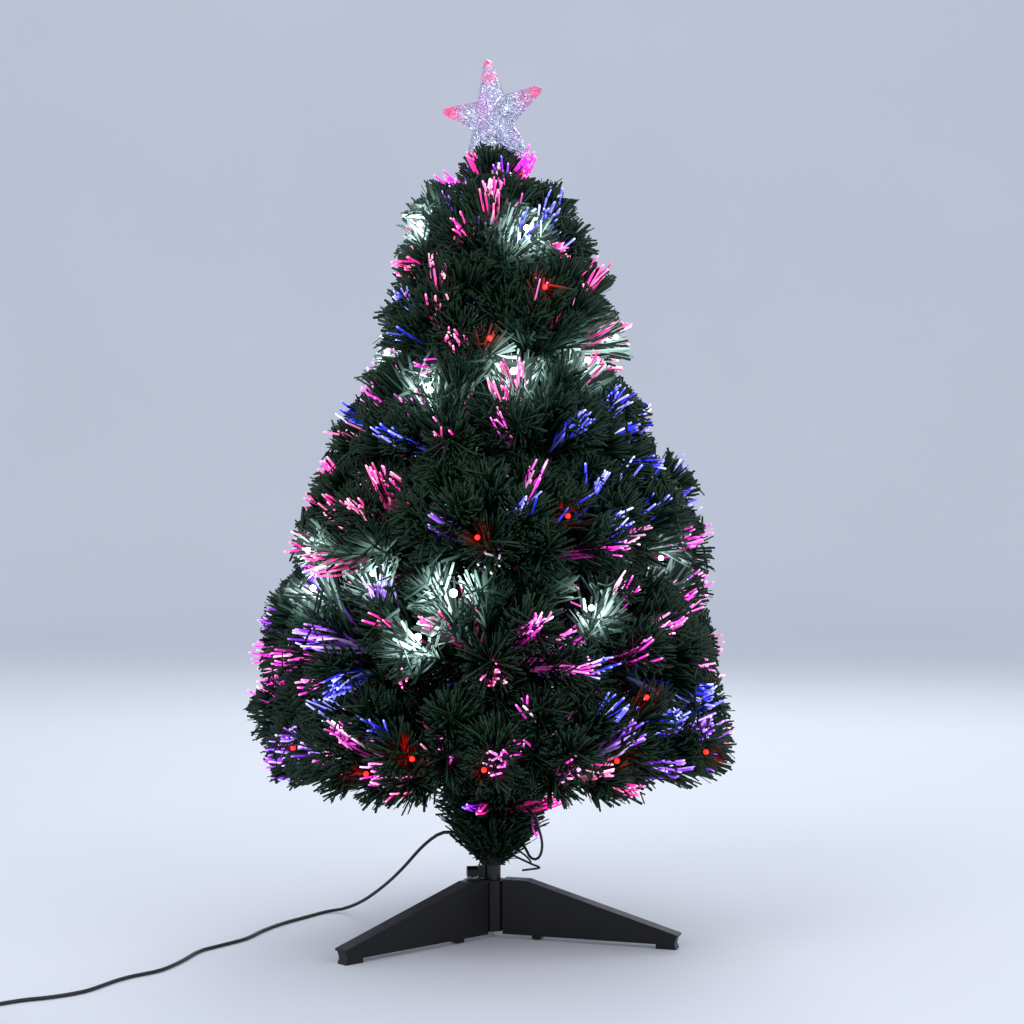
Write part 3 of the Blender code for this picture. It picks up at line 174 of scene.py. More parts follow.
# Lamps that the front of the tree shows: pixel, and the size of each white one
WHITE_LAMPS = (
    (526, 227, 1.0), (420, 224, 1.0), (514, 371, 1.5), (430, 390, 1.0), (387, 353, 0.8), (588, 360, 0.9),
    (616, 337, 0.6), (458, 591, 1.8), (420, 632, 1.2), (373, 571, 0.9), (313, 588, 1.0), (586, 596, 0.9),
    (661, 558, 0.7), (293, 552, 0.7),
)
RED_LAMPS = (
    (489, 329), (545, 287), (475, 536), (568, 516), (412, 759), (484, 770), (366, 774), (293, 748), (617, 761),
    (706, 752), (645, 695),
)
RED_LAMP_SIZE = 0.5
BACK_LAMP_SIZE = 0.9
LAMP_RADII = {"white": 0.0023, "red": 0.0025}
LAMP_HOLDER_RADIUS = 0.0021
LAMP_WIRE_RADIUS = 0.0008
# Furthest that a lamp sits from its twig's wire, and what it costs a place on a wire to lie further back
LAMP_REACH = 0.015
DEPTH_COST = 0.18
# The light that each lamp throws, as glows of a strength, reach and colour, and where it ends
LAMP_LIGHTS = {
    "white": ((5.2, 0.0170, (0.74, 1.0, 0.97)), (0.55, 0.0240, (0.16, 0.78, 0.60))),
    "red": ((2.4, 0.0090, (1.0, 0.010, 0.008)),),
}
LIGHT_END = 0.06

# Lead, as the solids have it. It falls from the light unit and then lies on the floor, in tenths of a millimetre
CORD_DIAMETER = 0.0035
CORD_START = (-0.0100, 0.0, 0.1065)
RELIEF_END = (-0.0431, 0.0, 0.1065)
CORD_FLOOR = 0.00195
CORD_POINTS = 78
CORD_FALL = (
    (-520, 30, 1055), (-620, 120, 990), (-760, 260, 850), (-960, 500, 600), (-1160, 760, 380), (-1400, 1020, 170),
    (-1620, 1180, 50),
)
CORD_ON_FLOOR = (
    (-1820, 1160), (-2020, 860), (-2230, 525), (-2379, 190), (-2514, -225), (-2740, -560), (-2891, -800),
    (-2995, -1240), (-3133, -1620), (-3354, -1860), (-3480, -2060), (-3640, -2400), (-3774, -2550), (-3955, -2680),
    (-4130, -2760), (-4290, -2880), (-4430, -3010),
)
COIL_ENTRY = (-0.4515, -0.3150)
COIL_CENTRE = (-0.476, -0.330)
COIL_FLOOR = 0.00375
COIL_INNER_RADIUS = 0.0148
COIL_PITCH = 0.0040
COIL_TURNS = 8
COIL_LAYER_TURNS = 2
COIL_CLIMB_TURNS = 0.5
COIL_LOOP_POINTS = 24
COIL_TAIL_LENGTH = 0.026

# Wire and twigs that hang loose at the foot of the trunk: finish, radius, and way in tenths of a millimetre
FOOT_WIRES = {
    "loose_wire_loop": ("sheath", 0.0014, (
        (300, -200, 1380), (410, -280, 1280), (475, -310, 1120), (500, -310, 980), (475, -300, 870),
        (425, -280, 835), (375, -260, 860), (335, -220, 930), (270, -160, 1010), (180, -100, 1050),
    )),
    "stray_twig_low": ("wire", 0.0011, (
        (90, -60, 900), (180, -110, 860), (300, -180, 815), (400, -220, 775), (480, -240, 745), (400, -210, 725),
        (300, -170, 705),
    )),
    "stray_twig_high": ("wire", 0.0010, (
        (150, -80, 1000), (220, -160, 930), (290, -220, 895), (350, -250, 850), (390, -260, 800),
    )),
}
FOOT_WIRE_POINTS = 28

# Star, as the solids have it, and its glowing spots: arm from the top to the left, place along it, radius, strength
STAR_CENTRE = (0.0, 0.0, 0.8385)
STAR_YAW_DEG = -31.0
STAR_ROLL_DEG = -6.0
STAR_GLOWS = (
    (0, 0.059, 0.009, 0.8), (0, 0.042, 0.010, 0.9), (1, 0.055, 0.016, 1.0), (1, 0.042, 0.009, 0.6),
    (2, 0.046, 0.012, 0.7), (3, 0.050, 0.006, 0.2), (4, 0.056, 0.012, 0.9), (4, 0.040, 0.011, 0.45),
)

# Moulded plastics: name, dark and light shade, roughness and coat
PLASTICS = {
    "stand": ("black stand plastic", (0.0022, 0.0022, 0.0028), (0.0055, 0.0055, 0.0066), 0.4, 0.06),
    "housing": ("black unit plastic", (0.008, 0.008, 0.009), (0.018, 0.018, 0.02), 0.38, 0.2),
    "fittings": ("black lead fittings", (0.009, 0.009, 0.01), (0.02, 0.02, 0.023), 0.45, 0.1),
    "lead": ("lead sheath", (0.01, 0.01, 0.012), (0.022, 0.022, 0.026), 0.42, 0.1),
    "sheath": ("black wire sheath", (0.006, 0.006, 0.007), (0.014, 0.014, 0.016), 0.4, 0.2),
    "collar": ("green branch holders", (0.006, 0.02, 0.011), (0.012, 0.038, 0.02), 0.4, 0.2),
    "board": ("green circuit board", (0.01, 0.08, 0.03), (0.02, 0.13, 0.05), 0.4, 0.3),
}
# The CAD nodes that don't have the collars' finish
NODES_BY_FINISH = {
    "stand": ("stand_hub", "leg_right", "leg_left", "leg_rear", "clamp_screw"),
    "housing": ("light_housing", "light_housing_lid", "adapter_case"),
    "fittings": ("cord_relief", "power_cord", "power_cord_coil", "cord_tie"),
    "metal": ("fibre_ferrule", "adapter_pin_1", "adapter_pin_2"),
    "star": ("star_peg", "star_front", "star_back"),
    "board": ("led_board",),
    "trunk": ("trunk_tube",),
    "bundle": ("fibre_bundle",),
}

# What all functions share: the random draws, and the small shapes and materials that the last lines fill in
chance = np.random.default_rng(90)
models = {}
finishes = {}


def deselect():
    if bpy.context.object and bpy.context.object.mode != "OBJECT":
        bpy.ops.object.mode_set(mode="OBJECT")
    bpy.ops.object.select_all(action="DESELECT")


def start_from(primitive, **sizes):
    """Adds a primitive with its place in its mesh, and opens it in edit mode to be shaped further."""
    deselect()
    primitive(**sizes)
    bpy.ops.object.transform_apply(location=True, rotation=True, scale=True)
    bpy.ops.object.mode_set(mode="EDIT")
    return bpy.context.object


def pick(mesh, kind, test):
    """In edit mode, selects the faces or edges that pass the test."""
    edit = bmesh.from_edit_mesh(mesh)
    bpy.ops.mesh.select_all(action="DESELECT")
    for part in getattr(edit, kind):
        if test(part):
            part.select_set(True)
    bmesh.update_edit_mesh(mesh)


def cut_across(*heights):
    """In edit mode, cuts the mesh along a level plane at each height."""
    for height in heights:
        bpy.ops.mesh.select_all(action="SELECT")
        bpy.ops.mesh.bisect(plane_co=(0, 0, height), plane_no=(0, 0, 1))


def points_of(made):
    """Leaves edit mode and gives the mesh's points, to be moved."""
    bpy.ops.object.mode_set(mode="OBJECT")
    return [vertex.co for vertex in made.data.vertices]


def adds_node(operation, reflected=False):
    """An operator of Value that adds one Math node. The reflected one puts the value second."""
    def apply(value, other):
        return value.finish.maths(operation, *((other, value) if reflected else (value, other)))

    return apply


class Value:
    """A number that varies over a surface. Python's operators on it add Math nodes."""

    __add__, __radd__ = adds_node("ADD"), adds_node("ADD", True)
    __sub__, __rsub__ = adds_node("SUBTRACT"), adds_node("SUBTRACT", True)
    __mul__, __rmul__ = adds_node("MULTIPLY"), adds_node("MULTIPLY", True)

    def __init__(self, finish, socket):
        self.finish = finish
        self.socket = socket


class Finish:
    """One material: a Principled surface, with constants on its sockets and nodes for what varies."""

    def __init__(self, name):
        self.made = bpy.data.materials.new(name)
        self.made.use_nodes = True
        self.tree = self.made.node_tree
        self.tree.nodes.clear()
        self.surface = self.tree.nodes.new("ShaderNodeBsdfPrincipled")
        output = self.tree.nodes.new("ShaderNodeOutputMaterial")
        self.tree.links.new(self.surface.outputs[0], output.inputs[0])

    def done(self, **values):
        """Fills in the surface's sockets and gives the material."""
        for name, value in values.items():
            self.fill(self.surface.inputs[name.replace("_", " ")], value)
        return self.made

    def fill(self, socket, value):
        if isinstance(value, Value):
            self.tree.links.new(value.socket, socket)
        elif isinstance(value, tuple) and len(value) == 3 and socket.type == "RGBA":
            socket.default_value = (*value, 1.0)
        else:
            socket.default_value = value

    def node(self, kind, settings, sockets, output=0):
        """Adds one node: its settings are set first, then the values or links of its sockets."""
        made = self.tree.nodes.new("ShaderNode" + kind)
        for name, value in settings.items():
            setattr(made, name, value)
        for socket, value in sockets.items():
            self.fill(made.inputs[socket], value)
        return Value(self, made.outputs[output])

    def maths(self, operation, first, second):
        return self.node("Math", {"operation": operation}, {0: first, 1: second})

    def place(self):
        return self.node("TexCoord", {}, {}, "Object")

    def stretched(self, factors):
        """Object coordinates, each axis multiplied by its factor."""
        return self.node("VectorMath", {"operation": "MULTIPLY"}, {0: self.place(), 1: factors})

    def noise(self, scale, detail=2.0, where=None):
        return self.node("TexNoise", {}, {"Vector": where or self.place(), "Scale": scale, "Detail": detail})

    def cells(self, scale, feature):
        return self.node("TexVoronoi", {"feature": feature}, {"Vector": self.place(), "Scale": scale})

    def ramp(self, value, low, high, first=0.0, last=1.0):
        """Goes from first to last while the value goes from low to high."""
        return self.node("MapRange", {}, {0: value, 1: low, 2: high, 3: first, 4: last})

    def blend(self, share, first, second):
        return self.node("Mix", {"data_type": "RGBA"}, {0: share, 6: first, 7: second}, 2)

    def attribute(self, name, output):
        return self.node("Attribute", {"attribute_name": name}, {}, output)

    def bump(self, height, strength, distance):
        return self.node("Bump", {}, {"Height": height, "Strength": strength, "Distance": distance})


def moulded_plastic(name, dark, light, roughness, coat):
    """Moulded plastic: slow changes of shade, fine grain and faint handling marks."""
    finish = Finish(name)
    grain = finish.noise(1400.0, 3.0)
    rubs = finish.noise(90.0, 5.0, finish.stretched((1.0, 1.0, 0.35)))
    return finish.done(
        Base_Color=finish.blend(finish.noise(18.0), dark, light), Coat_Weight=coat, Coat_Roughness=0.12,
        Roughness=roughness + (rubs - 0.5) * 0.25 + (grain - 0.5) * 0.08, Specular_IOR_Level=0.3,
        Normal=finish.bump(grain * 0.6 + rubs * 0.4, 0.15, 0.0004),
    )


def make_needle_finish():
    """Flat PVC needles: dark green, each in its own shade, glowing where a lamp is near."""
    finish = Finish("dark green needles")
    shade = finish.attribute("shade", "Fac")
    ribs = finish.noise(700.0)
    green = finish.blend(shade, (0.0028, 0.0150, 0.0066), (0.0090, 0.0480, 0.0180))
    return finish.done(
        Base_Color=finish.blend(ribs * 0.5, green, (0.0060, 0.0320, 0.0140)), Specular_IOR_Level=0.30,
        Roughness=0.34 + shade * 0.16 + (ribs - 0.5) * 0.15, Normal=finish.bump(ribs, 0.2, 0.0002),
        Emission_Color=finish.attribute("lit", "Color"), Emission_Strength=1.0,
    )


def make_fibre_finish():
    """Clear light fibres, which glow at their ends."""
    finish = Finish("light fibres")
    streaks = finish.noise(260.0)
    return finish.done(
        Base_Color=finish.blend(streaks, (0.03, 0.03, 0.04), (0.08, 0.08, 0.10)), Specular_IOR_Level=0.4,
        Roughness=0.12 + streaks * 0.12, Emission_Color=finish.attribute("glow", "Color"), Emission_Strength=2.3,
    )


def make_wire_finish():
    """Green lacquered wire, wound, so its shade turns in fine bands."""
    finish = Finish("green wire")
    twist = finish.noise(900.0, 1.0)
    wear = finish.noise(60.0, 4.0)
    return finish.done(
        Base_Color=finish.blend(twist, (0.006, 0.020, 0.010), (0.016, 0.050, 0.024)),
        Roughness=0.35 + wear * 0.25, Metallic=0.15 + wear * 0.2, Normal=finish.bump(twist, 0.4, 0.0003),
    )


def make_lamp_finish(name, colour, core, strength):
    """A small lamp's lens: bright at its tip, deeper in colour low on its side."""
    finish = Finish(name)
    along = finish.attribute("along", "Fac")
    swirl = finish.noise(500.0, 1.0)
    return finish.done(
        Base_Color=finish.blend(along, colour, core), Roughness=0.08 + swirl * 0.1,
        Coat_Weight=0.6, Coat_Roughness=0.05, Emission_Strength=strength,
        Emission_Color=finish.blend(along * (0.8 + swirl * 0.4), colour, core),
    )


def make_star_finish():
    """Clear plastic with a pressed crazed relief. Some arms glow pink at their ends, and painted glints, pale blue
    sparks of emission, lie on the cracks.
    """
    finish = Finish("clear star plastic")
    facets = finish.cells(190.0, "F1")
    ridge = finish.ramp(finish.cells(190.0, "DISTANCE_TO_EDGE"), 0.0, 0.10, 1.0, 0.0)
    sparkle = finish.noise(300.0, 3.0)
    sparks = finish.ramp(finish.noise(420.0, 1.0), 0.60, 0.70)
    patch = finish.ramp(finish.noise(50.0, 1.0), 0.50, 0.68)
    ends = 0.0
    for place, radius, strength in star_glows():
        offset = finish.node("VectorMath", {"operation": "SUBTRACT"}, {0: finish.place(), 1: place})
        away = finish.node("VectorMath", {"operation": "LENGTH"}, {0: offset}, "Value")
        ends = finish.maths("MAXIMUM", ends, finish.ramp(away, radius * 0.35, radius, strength, 0.0))
    ends = ends * (0.40 + sparks * 0.40 + ridge * 0.40)
    glassy = finish.blend(sparkle, (0.50, 0.54, 0.68), (0.88, 0.90, 0.96))
    tinted = finish.blend(patch * 0.30, glassy, (0.72, 0.40, 0.74))
    # Painted glints: pale blue emission on the crack ridges where the spots fall, standing in for light that the
    # crazed plastic catches
    painted_glints = finish.blend(ridge * sparks, (0.000, 0.000, 0.001), (0.40, 0.50, 0.75))
    rosy = finish.blend(patch * 0.35, painted_glints, (0.12, 0.01, 0.12))
    warm = finish.blend(ridge * 0.4 + sparks * 0.6, (0.09, 0.000, 0.016), (1.20, 0.15, 0.46))
    return finish.done(
        Base_Color=finish.blend(ends * 1.2, tinted, (0.78, 0.010, 0.16)), Roughness=0.03 + sparkle * 0.08,
        IOR=1.49, Transmission_Weight=0.96, Specular_IOR_Level=0.6, Emission_Strength=1.0,
        Emission_Color=finish.blend(ends, rosy, warm), Normal=finish.bump(ridge * 0.7 + facets * 1.8, 0.48, 0.0011),
    )


def star_glows():
    """Where the star glows, as it stands: place, radius and strength of each spot."""
    yaw = Matrix.Rotation(math.radians(STAR_YAW_DEG), 3, "Z")
    spots = []
    for arm, out, radius, strength in STAR_GLOWS:
        angle = math.pi / 2 + arm * math.tau / 5 - math.radians(STAR_ROLL_DEG)
        way = yaw @ Vector((math.cos(angle), 0, math.sin(angle)))
        spots.append((tuple(Vector(STAR_CENTRE) + way * out), radius, strength))
    return spots


def make_trunk_finish():
    """Steel tube in dark green paint, with scuffs that show the metal."""
    finish = Finish("painted trunk")
    streaks = finish.noise(30.0, 4.0, finish.stretched((6.0, 6.0, 0.6)))
    scuffs = finish.ramp(finish.noise(120.0, 6.0), 0.62, 0.72)
    return finish.done(
        Base_Color=finish.blend(scuffs * 0.5, (0.004, 0.011, 0.007), (0.040, 0.046, 0.040)),
        Roughness=0.32 + streaks * 0.25, Metallic=scuffs * 0.6, Normal=finish.bump(streaks, 0.1, 0.0003),
    )


def streaked(name, scale, detail, factors, dark, light, roughness, bump, **others):
    """A surface with fine streaks, such as turning marks on metal, or threads side by side."""
    finish = Finish(name)
    streaks = finish.noise(scale, detail, finish.stretched(factors))
    return finish.done(
        Base_Color=finish.blend(streaks, dark, light), Roughness=roughness[0] + streaks * roughness[1],
        Normal=finish.bump(streaks, *bump), **others,
    )


def piece(name, data, finish, slot, body, *nodes):
    """Links a finished mesh as a piece that rides on a body and stands for the nodes named."""
    made = bpy.data.objects.new(name, data)
    bpy.context.scene.collection.objects.link(made)
    data.materials.clear()
    data.materials.append(finishes[finish])
    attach(made, body)
    if nodes:
        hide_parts(*nodes)
    return made


class Model:
    """A small shape's points and faces, taken from a modelled object, to be copied to many places."""

    def __init__(self, made):
        deselect()
        mesh = made.data
        self.points = self.read(mesh.vertices, "co", float, 3).reshape(-1, 3)
        self.corners = self.read(mesh.loops, "vertex_index", np.int32)
        self.starts = self.read(mesh.polygons, "loop_start", np.int32)
        bpy.data.objects.remove(made)

    def read(self, items, name, kind, size=1):
        values = np.empty(len(items) * size, kind)
        items.foreach_get(name, values)
        return values


def spread(name, batches, finish, slot, body, *nodes):
    """One piece that holds each model at each of its places. A batch is (model, places, values by attribute)."""
    points, corners, starts, values = [], [], [], {}
    point_count = corner_count = 0
    for key, places, attributes in batches:
        model = models[key]
        count = len(places)
        if not count:
            continue
        moved = np.einsum("mij,nj->mni", places[:, :3, :3], model.points) + places[:, None, :3, 3]
        points.append(moved.reshape(-1, 3))
        shift = np.arange(count, dtype=np.int32)[:, None]
        corners.append((model.corners[None] + point_count + shift * len(model.points)).ravel())
        starts.append((model.starts[None] + corner_count + shift * len(model.corners)).ravel())
        point_count += count * len(model.points)
        corner_count += count * len(model.corners)
        for attribute, value_of in attributes.items():
            values.setdefault(attribute, []).append(value_of(model.points, moved))
    points, corners, starts = map(np.concatenate, (points, corners, starts))
    mesh = bpy.data.meshes.new(name)
    mesh.vertices.add(len(points))
    mesh.vertices.foreach_set("co", points.astype(np.float32).ravel())
    mesh.loops.add(len(corners))
    mesh.loops.foreach_set("vertex_index", corners)
    mesh.polygons.add(len(starts))
    mesh.polygons.foreach_set("loop_start", starts)
    mesh.update(calc_edges=True)
    for attribute, parts in values.items():
        filled = np.concatenate(parts).astype(np.float32)
        kind, field = ("FLOAT_COLOR", "color") if filled.ndim == 2 else ("FLOAT", "value")
        mesh.attributes.new(attribute, kind, "POINT").data.foreach_set(field, filled.ravel())
    mesh.validate()
    piece(name, mesh, finish, slot, body, *nodes)


def needle_model():
    """A flat blade of unit width and length along +Z, widest past the middle, bent towards +Y, cut off at its end."""
    made = start_from(
        bpy.ops.mesh.primitive_cone_add, vertices=3, radius1=0.28, radius2=0.44, depth=1.0, location=(0, 0, 0.5),
    )
    cut_across(0.70)
    for point in points_of(made):
        if 0.1 < point.z < 0.9:
            point.x *= 1.35
        point.y += NEEDLE_BEND * point.z ** 2
    return Model(made)


def fibre_model():
    """A thin thread of unit radius and length along +Z, closed at both ends, with a cut where its lit end starts."""
    made = start_from(bpy.ops.mesh.primitive_cylinder_add, vertices=4, radius=1.0, depth=1.0, location=(0, 0, 0.5))
    cut_across(0.30, 0.60, 0.66, 0.72, 0.96)
    for point in points_of(made):
        point.x += 5.0 * math.sin(point.z * math.pi)
        if point.z > 0.99:
            point.x *= 0.8
            point.y *= 0.8
    return Model(made)


def lamp_model():
    """A small lamp along +Z: a round lens that stands on a short neck."""
    made = start_from(
        bpy.ops.mesh.primitive_uv_sphere_add, segments=16, ring_count=10, radius=1.0, location=(0, 0, 1.1),
    )
    pick(made.data, "faces", lambda face: face.calc_center_median().z < 0.75)
    bpy.ops.transform.resize(value=(0.82, 0.82, 1.7), center_override=(0, 0, 1.1))
    return Model(made)


def holder_model():
    """The lamp's holder: a short cup with a rim and a wire's stub below."""
    made = start_from(bpy.ops.mesh.primitive_cylinder_add, vertices=10, radius=1.0, depth=1.6, location=(0, 0, -0.4))
    pick(made.data, "faces", lambda face: face.normal.z > 0.9)
    bpy.ops.mesh.inset(thickness=0.22)
    bpy.ops.transform.translate(value=(0, 0, -0.35))
    pick(made.data, "faces", lambda face: face.normal.z < -0.9)
    bpy.ops.mesh.inset(thickness=0.35)
    bpy.ops.mesh.extrude_region_move(TRANSFORM_OT_translate={"value": (0, 0, -1.6)})
    bpy.ops.transform.resize(value=(0.5, 0.5, 1.0), center_override=(0, 0, 0))
    return Model(made)


def wire_model():
    """A round wire of unit radius and length along +Z, closed at both ends and thinner at its far one."""
    made = start_from(bpy.ops.mesh.primitive_cylinder_add, vertices=8, radius=1.0, depth=1.0, location=(0, 0, 0.5))
    cut_across(0.25, 0.50, 0.75)
    for point in points_of(made):
        thin = 1.0 - 0.35 * point.z
        point.x *= thin
        point.y *= thin
    return Model(made)


def metres(tenths):
    """Metres from tenths of a millimetre."""
    return np.array(tenths) / 10000


def turns(count):
    return chance.uniform(0, math.tau, count)


def unit(vectors):
    return vectors / np.linalg.norm(vectors, axis=-1, keepdims=True)


def ways_and_lengths(lines):
    return unit(lines), np.linalg.norm(lines, axis=1)


def placed(starts, ways, widths, lengths, thicknesses=None, rolls=0.0):
    """Matrices that set a unit model from each start along each way, round where no thicknesses are given."""
    up = np.where(np.abs(ways[:, 2:3]) > 0.95, np.array([[1.0, 0, 0]]), np.array([[0, 0, 1.0]]))
    across = unit(np.cross(ways, up))
    rolls = np.reshape(rolls, (-1, 1))
    turn_x = across * np.cos(rolls) + np.cross(ways, across) * np.sin(rolls)
    thicknesses = widths if thicknesses is None else thicknesses
    places = np.zeros((len(starts), 4, 4))
    for axis, way, size in ((0, turn_x, widths), (1, np.cross(ways, turn_x), thicknesses), (2, ways, lengths)):
        places[:, :3, axis] = way * np.reshape(size, (-1, 1))
    places[:, :3, 3] = starts
    places[:, 3, 3] = 1.0
    return places


def lamp_light(moved, lamps, shades):
    """The light that the lamps near each point throw on it: it fades with distance, and some blades catch more."""
    points = moved.reshape(-1, 3)
    light = np.zeros((len(points), 4))
    light[:, 3] = 1.0
    low, high = points.min(0) - LIGHT_END, points.max(0) + LIGHT_END
    for _, _, place, _, size, colour in lamps:
        if np.all(place > low) and np.all(place < high):
            near = np.linalg.norm(points - place, axis=1)[:, None]
            for strength, reach, tint in LAMP_LIGHTS[colour]:
                light[:, :3] += size * strength * np.exp(-(near / reach) ** 2) * np.array(tint)
    caught = 0.03 + np.clip(shades - 0.55, 0, 1) * 2.1
    light[:, :3] *= np.repeat(caught, moved.shape[1])[:, None]
    return light


class Sprig:
    """One wire with a brush of needles at its end."""

    def __init__(self, start, directions, length, share, tuft):
        self.start = np.array(start)
        self.way, self.side, self.over = map(np.array, directions)
        self.length, self.share, self.tuft = length, share, tuft
        self.radius = TUFT_RADIUS * share
        self.end = self.start + self.way * length

    def along(self, distances):
        """Points on the wire, at distances from its root."""
        return self.start + self.way * np.reshape(distances, (-1, 1))

    def ring(self, angles, radii):
        """Lines square to the wire, at each angle and radius."""
        angles = np.reshape(angles, (-1, 1))
        return (np.cos(angles) * self.side + np.sin(angles) * self.over) * np.reshape(radii, (-1, 1))

    def needles(self):
        """Starts, ways and lengths of the needles, which end on a blunt front and a ragged side."""
        size = 0.4 + 0.6 * self.share
        count = int(TUFT_NEEDLES * size)
        front = int(count * FRONT_NEEDLE_SHARE)
        front_starts = self.along(self.length - chance.uniform(*FRONT_ROOT_DEPTHS, front) * size)
        reach = self.radius * np.sqrt(chance.uniform(0.02, 1.0, front))
        angles = turns(front)
        ends = self.length - FRONT_BULGE * (reach / self.radius) ** 2 - chance.uniform(0, FRONT_RAGGEDNESS, front)
        front_lines = self.along(ends) + self.ring(angles, reach) - front_starts

        side = count - front
        depths = chance.uniform(*SIDE_ROOT_DEPTHS, side) * (self.tuft - 0.004)
        angles = turns(side)
        reach = self.radius * chance.uniform(0.55, 1.0, side) * (1.0 - 0.30 * (depths / self.tuft) ** 2)
        forward = np.minimum(chance.uniform(*SIDE_FORWARDS, side) * (0.5 + 0.5 * self.share), depths - 0.002)
        side_lines = self.way * forward[:, None] + self.ring(angles, reach)

        bare = max(self.length - self.tuft - BARE_WIRE, 0.0)
        low = int(bare * LOW_NEEDLES_PER_METRE)
        roots = chance.uniform(BARE_WIRE, BARE_WIRE + bare, low)
        angles = turns(low)
        tilt = chance.uniform(*LOW_NEEDLE_TILTS, low)
        grown = 0.45 + 0.55 * np.clip(roots / FULL_GROWN_FROM, 0, 1)
        low_ways = self.way * np.cos(tilt)[:, None] + self.ring(angles, np.sin(tilt))
        low_lines = low_ways * (LOW_NEEDLE_LENGTH * grown * chance.uniform(0.75, 1.1, low))[:, None]

        starts = np.concatenate((front_starts, self.along(self.length - depths), self.along(roots)))
        ways, lengths = ways_and_lengths(np.concatenate((front_lines, side_lines, low_lines)))
        return starts, ways, np.minimum(lengths, LONGEST_NEEDLE)

    def fibres(self, count):
        """Starts, ways and lengths of one bundle of light fibres, which spreads a little inside the brush."""
        aside = self.ring(turns(1), self.radius * 0.62 * math.sqrt(chance.uniform()))
        roots = self.length - chance.uniform(0.80, 0.98, count) * self.tuft
        apart = self.radius * 0.40 * np.sqrt(chance.uniform(0.0, 1.0, count))
        apart = self.ring(turns(count), apart)
        ends = self.length - chance.uniform(-0.010, 0.016, count)
        starts = self.along(roots) + (aside + apart) * 0.12
        return starts, *ways_and_lengths(self.along(ends) + aside + apart - starts)


def half_width(height, turn):
    """The outline's half width at a height, for a turn about the trunk."""
    heights, left, right, between = TREE_OUTLINE.T
    share = math.cos(turn) ** 6
    side = np.interp(height, heights, right if math.cos(turn) > 0 else left)
    return float(side * share + np.interp(height, heights, between) * (1 - share))


def branch_sprigs(whorl, azimuth):
    """The stem of a branch and its twigs."""
    share = TUFT_REACH_SHARES[whorl]
    elevation = math.radians(ELEVATIONS_DEG[whorl])
    level = math.cos(elevation)
    reach = TREE_REACH * WHORL_REACH_SHARES[whorl] - HINGE_RADIUS
    length = (reach - TUFT_RADIUS * share * STRAND_TIP_SHARE) / level
    hinge = Vector((HINGE_RADIUS * math.cos(azimuth), HINGE_RADIUS * math.sin(azimuth), WHORL_HEIGHTS[whorl]))
    stem = Vector((level * math.cos(azimuth), level * math.sin(azimuth), math.sin(elevation)))
    side = Vector((-math.sin(azimuth), math.cos(azimuth), 0))
    tuft = min(TUFT_LENGTH * share, length * 0.92)
    sprigs = [Sprig(hinge, (stem, side, stem.cross(side)), length, share * STEM_BRUSH_SHARES[whorl], tuft)]
    tip_height = hinge.z + length * math.sin(elevation)
    for angle, rise, out, leave in TWIG_TIPS[whorl]:
        height = tip_height + rise / 1000 + chance.uniform(-0.005, 0.005)
        out = out / 100 * chance.uniform(0.91, 1.05)
        turn = azimuth + math.radians(angle + chance.uniform(-2.5, 2.5))
        radius = half_width(height, turn) * out - 0.001
        root = hinge + stem * length * (leave / 100)
        line = Vector((radius * math.cos(turn), radius * math.sin(turn), height)) - root
        way = line.normalized()
        side = Vector((-way.y, way.x, 0)).normalized()
        tuft = min(TUFT_LENGTH * TWIG_TUFT_SHARE, line.length * 0.92)
        sprigs.append(Sprig(root, (way, side, way.cross(side)), line.length, TWIG_TUFT_SHARE, tuft))
    return sprigs


def pixel_of(point):
    """Where the camera shows a point, in pixels of the photograph."""
    scale = FOCAL_PIXELS / (point[1] - CAMERA_PLACE[1])
    return PHOTO_SIDE / 2 + scale * (point[0] - CAMERA_PLACE[0]), PHOTO_SIDE / 2 - scale * (point[2] - CAMERA_PLACE[2])


def smooth_line(points, count):
    """Evenly spaced points on a smooth curve through the given ones."""
    points = np.array(points)
    ends = (2 * points[0] - points[1], *points, 2 * points[-1] - points[-2])
    t = np.arange(20)[:, None] / 20
    fine = np.concatenate([
        0.5 * (2 * b + (c - a) * t + (2 * a - 5 * b + 4 * c - d) * t ** 2 + (3 * b - a - 3 * c + d) * t ** 3)
        for a, b, c, d in zip(ends, ends[1:], ends[2:], ends[3:])
    ] + [points[-1:]])
    lengths = np.append(0.0, np.cumsum(np.linalg.norm(np.diff(fine, axis=0), axis=1)))
    wanted = np.linspace(0.0, lengths[-1], count)
    return np.stack([np.interp(wanted, lengths, axis) for axis in fine.T], axis=1)


def coil_line():
    """Clockwise turns that spiral in on the floor, out again on top of them, and so on up."""
    outer = COIL_INNER_RADIUS + COIL_PITCH * COIL_LAYER_TURNS
    layers = COIL_TURNS // COIL_LAYER_TURNS
    centre = Vector((*COIL_CENTRE, COIL_FLOOR))
    line = [centre + Vector((outer, CORD_DIAMETER, 0.0))]
    for step in range(COIL_TURNS * COIL_LOOP_POINTS + 1):
        turn = step / COIL_LOOP_POINTS
        layer = min(int(turn / COIL_LAYER_TURNS), layers - 1)
        along = COIL_PITCH * (turn - layer * COIL_LAYER_TURNS)
        radius = COIL_INNER_RADIUS + along if layer % 2 else outer - along
        boundary = round(turn / COIL_LAYER_TURNS)
        level = layer
        if 0 < boundary < layers:
            past = (turn - boundary * COIL_LAYER_TURNS) / COIL_CLIMB_TURNS
            level = boundary - 0.5 + max(-0.5, min(0.5, past))
        angle = -turn * math.tau
        line.append(centre + Vector((radius * math.cos(angle), radius * math.sin(angle), level * COIL_PITCH)))
    line.append(line[-1] - Vector((0.0, COIL_TAIL_LENGTH, 0.0)))
    return line


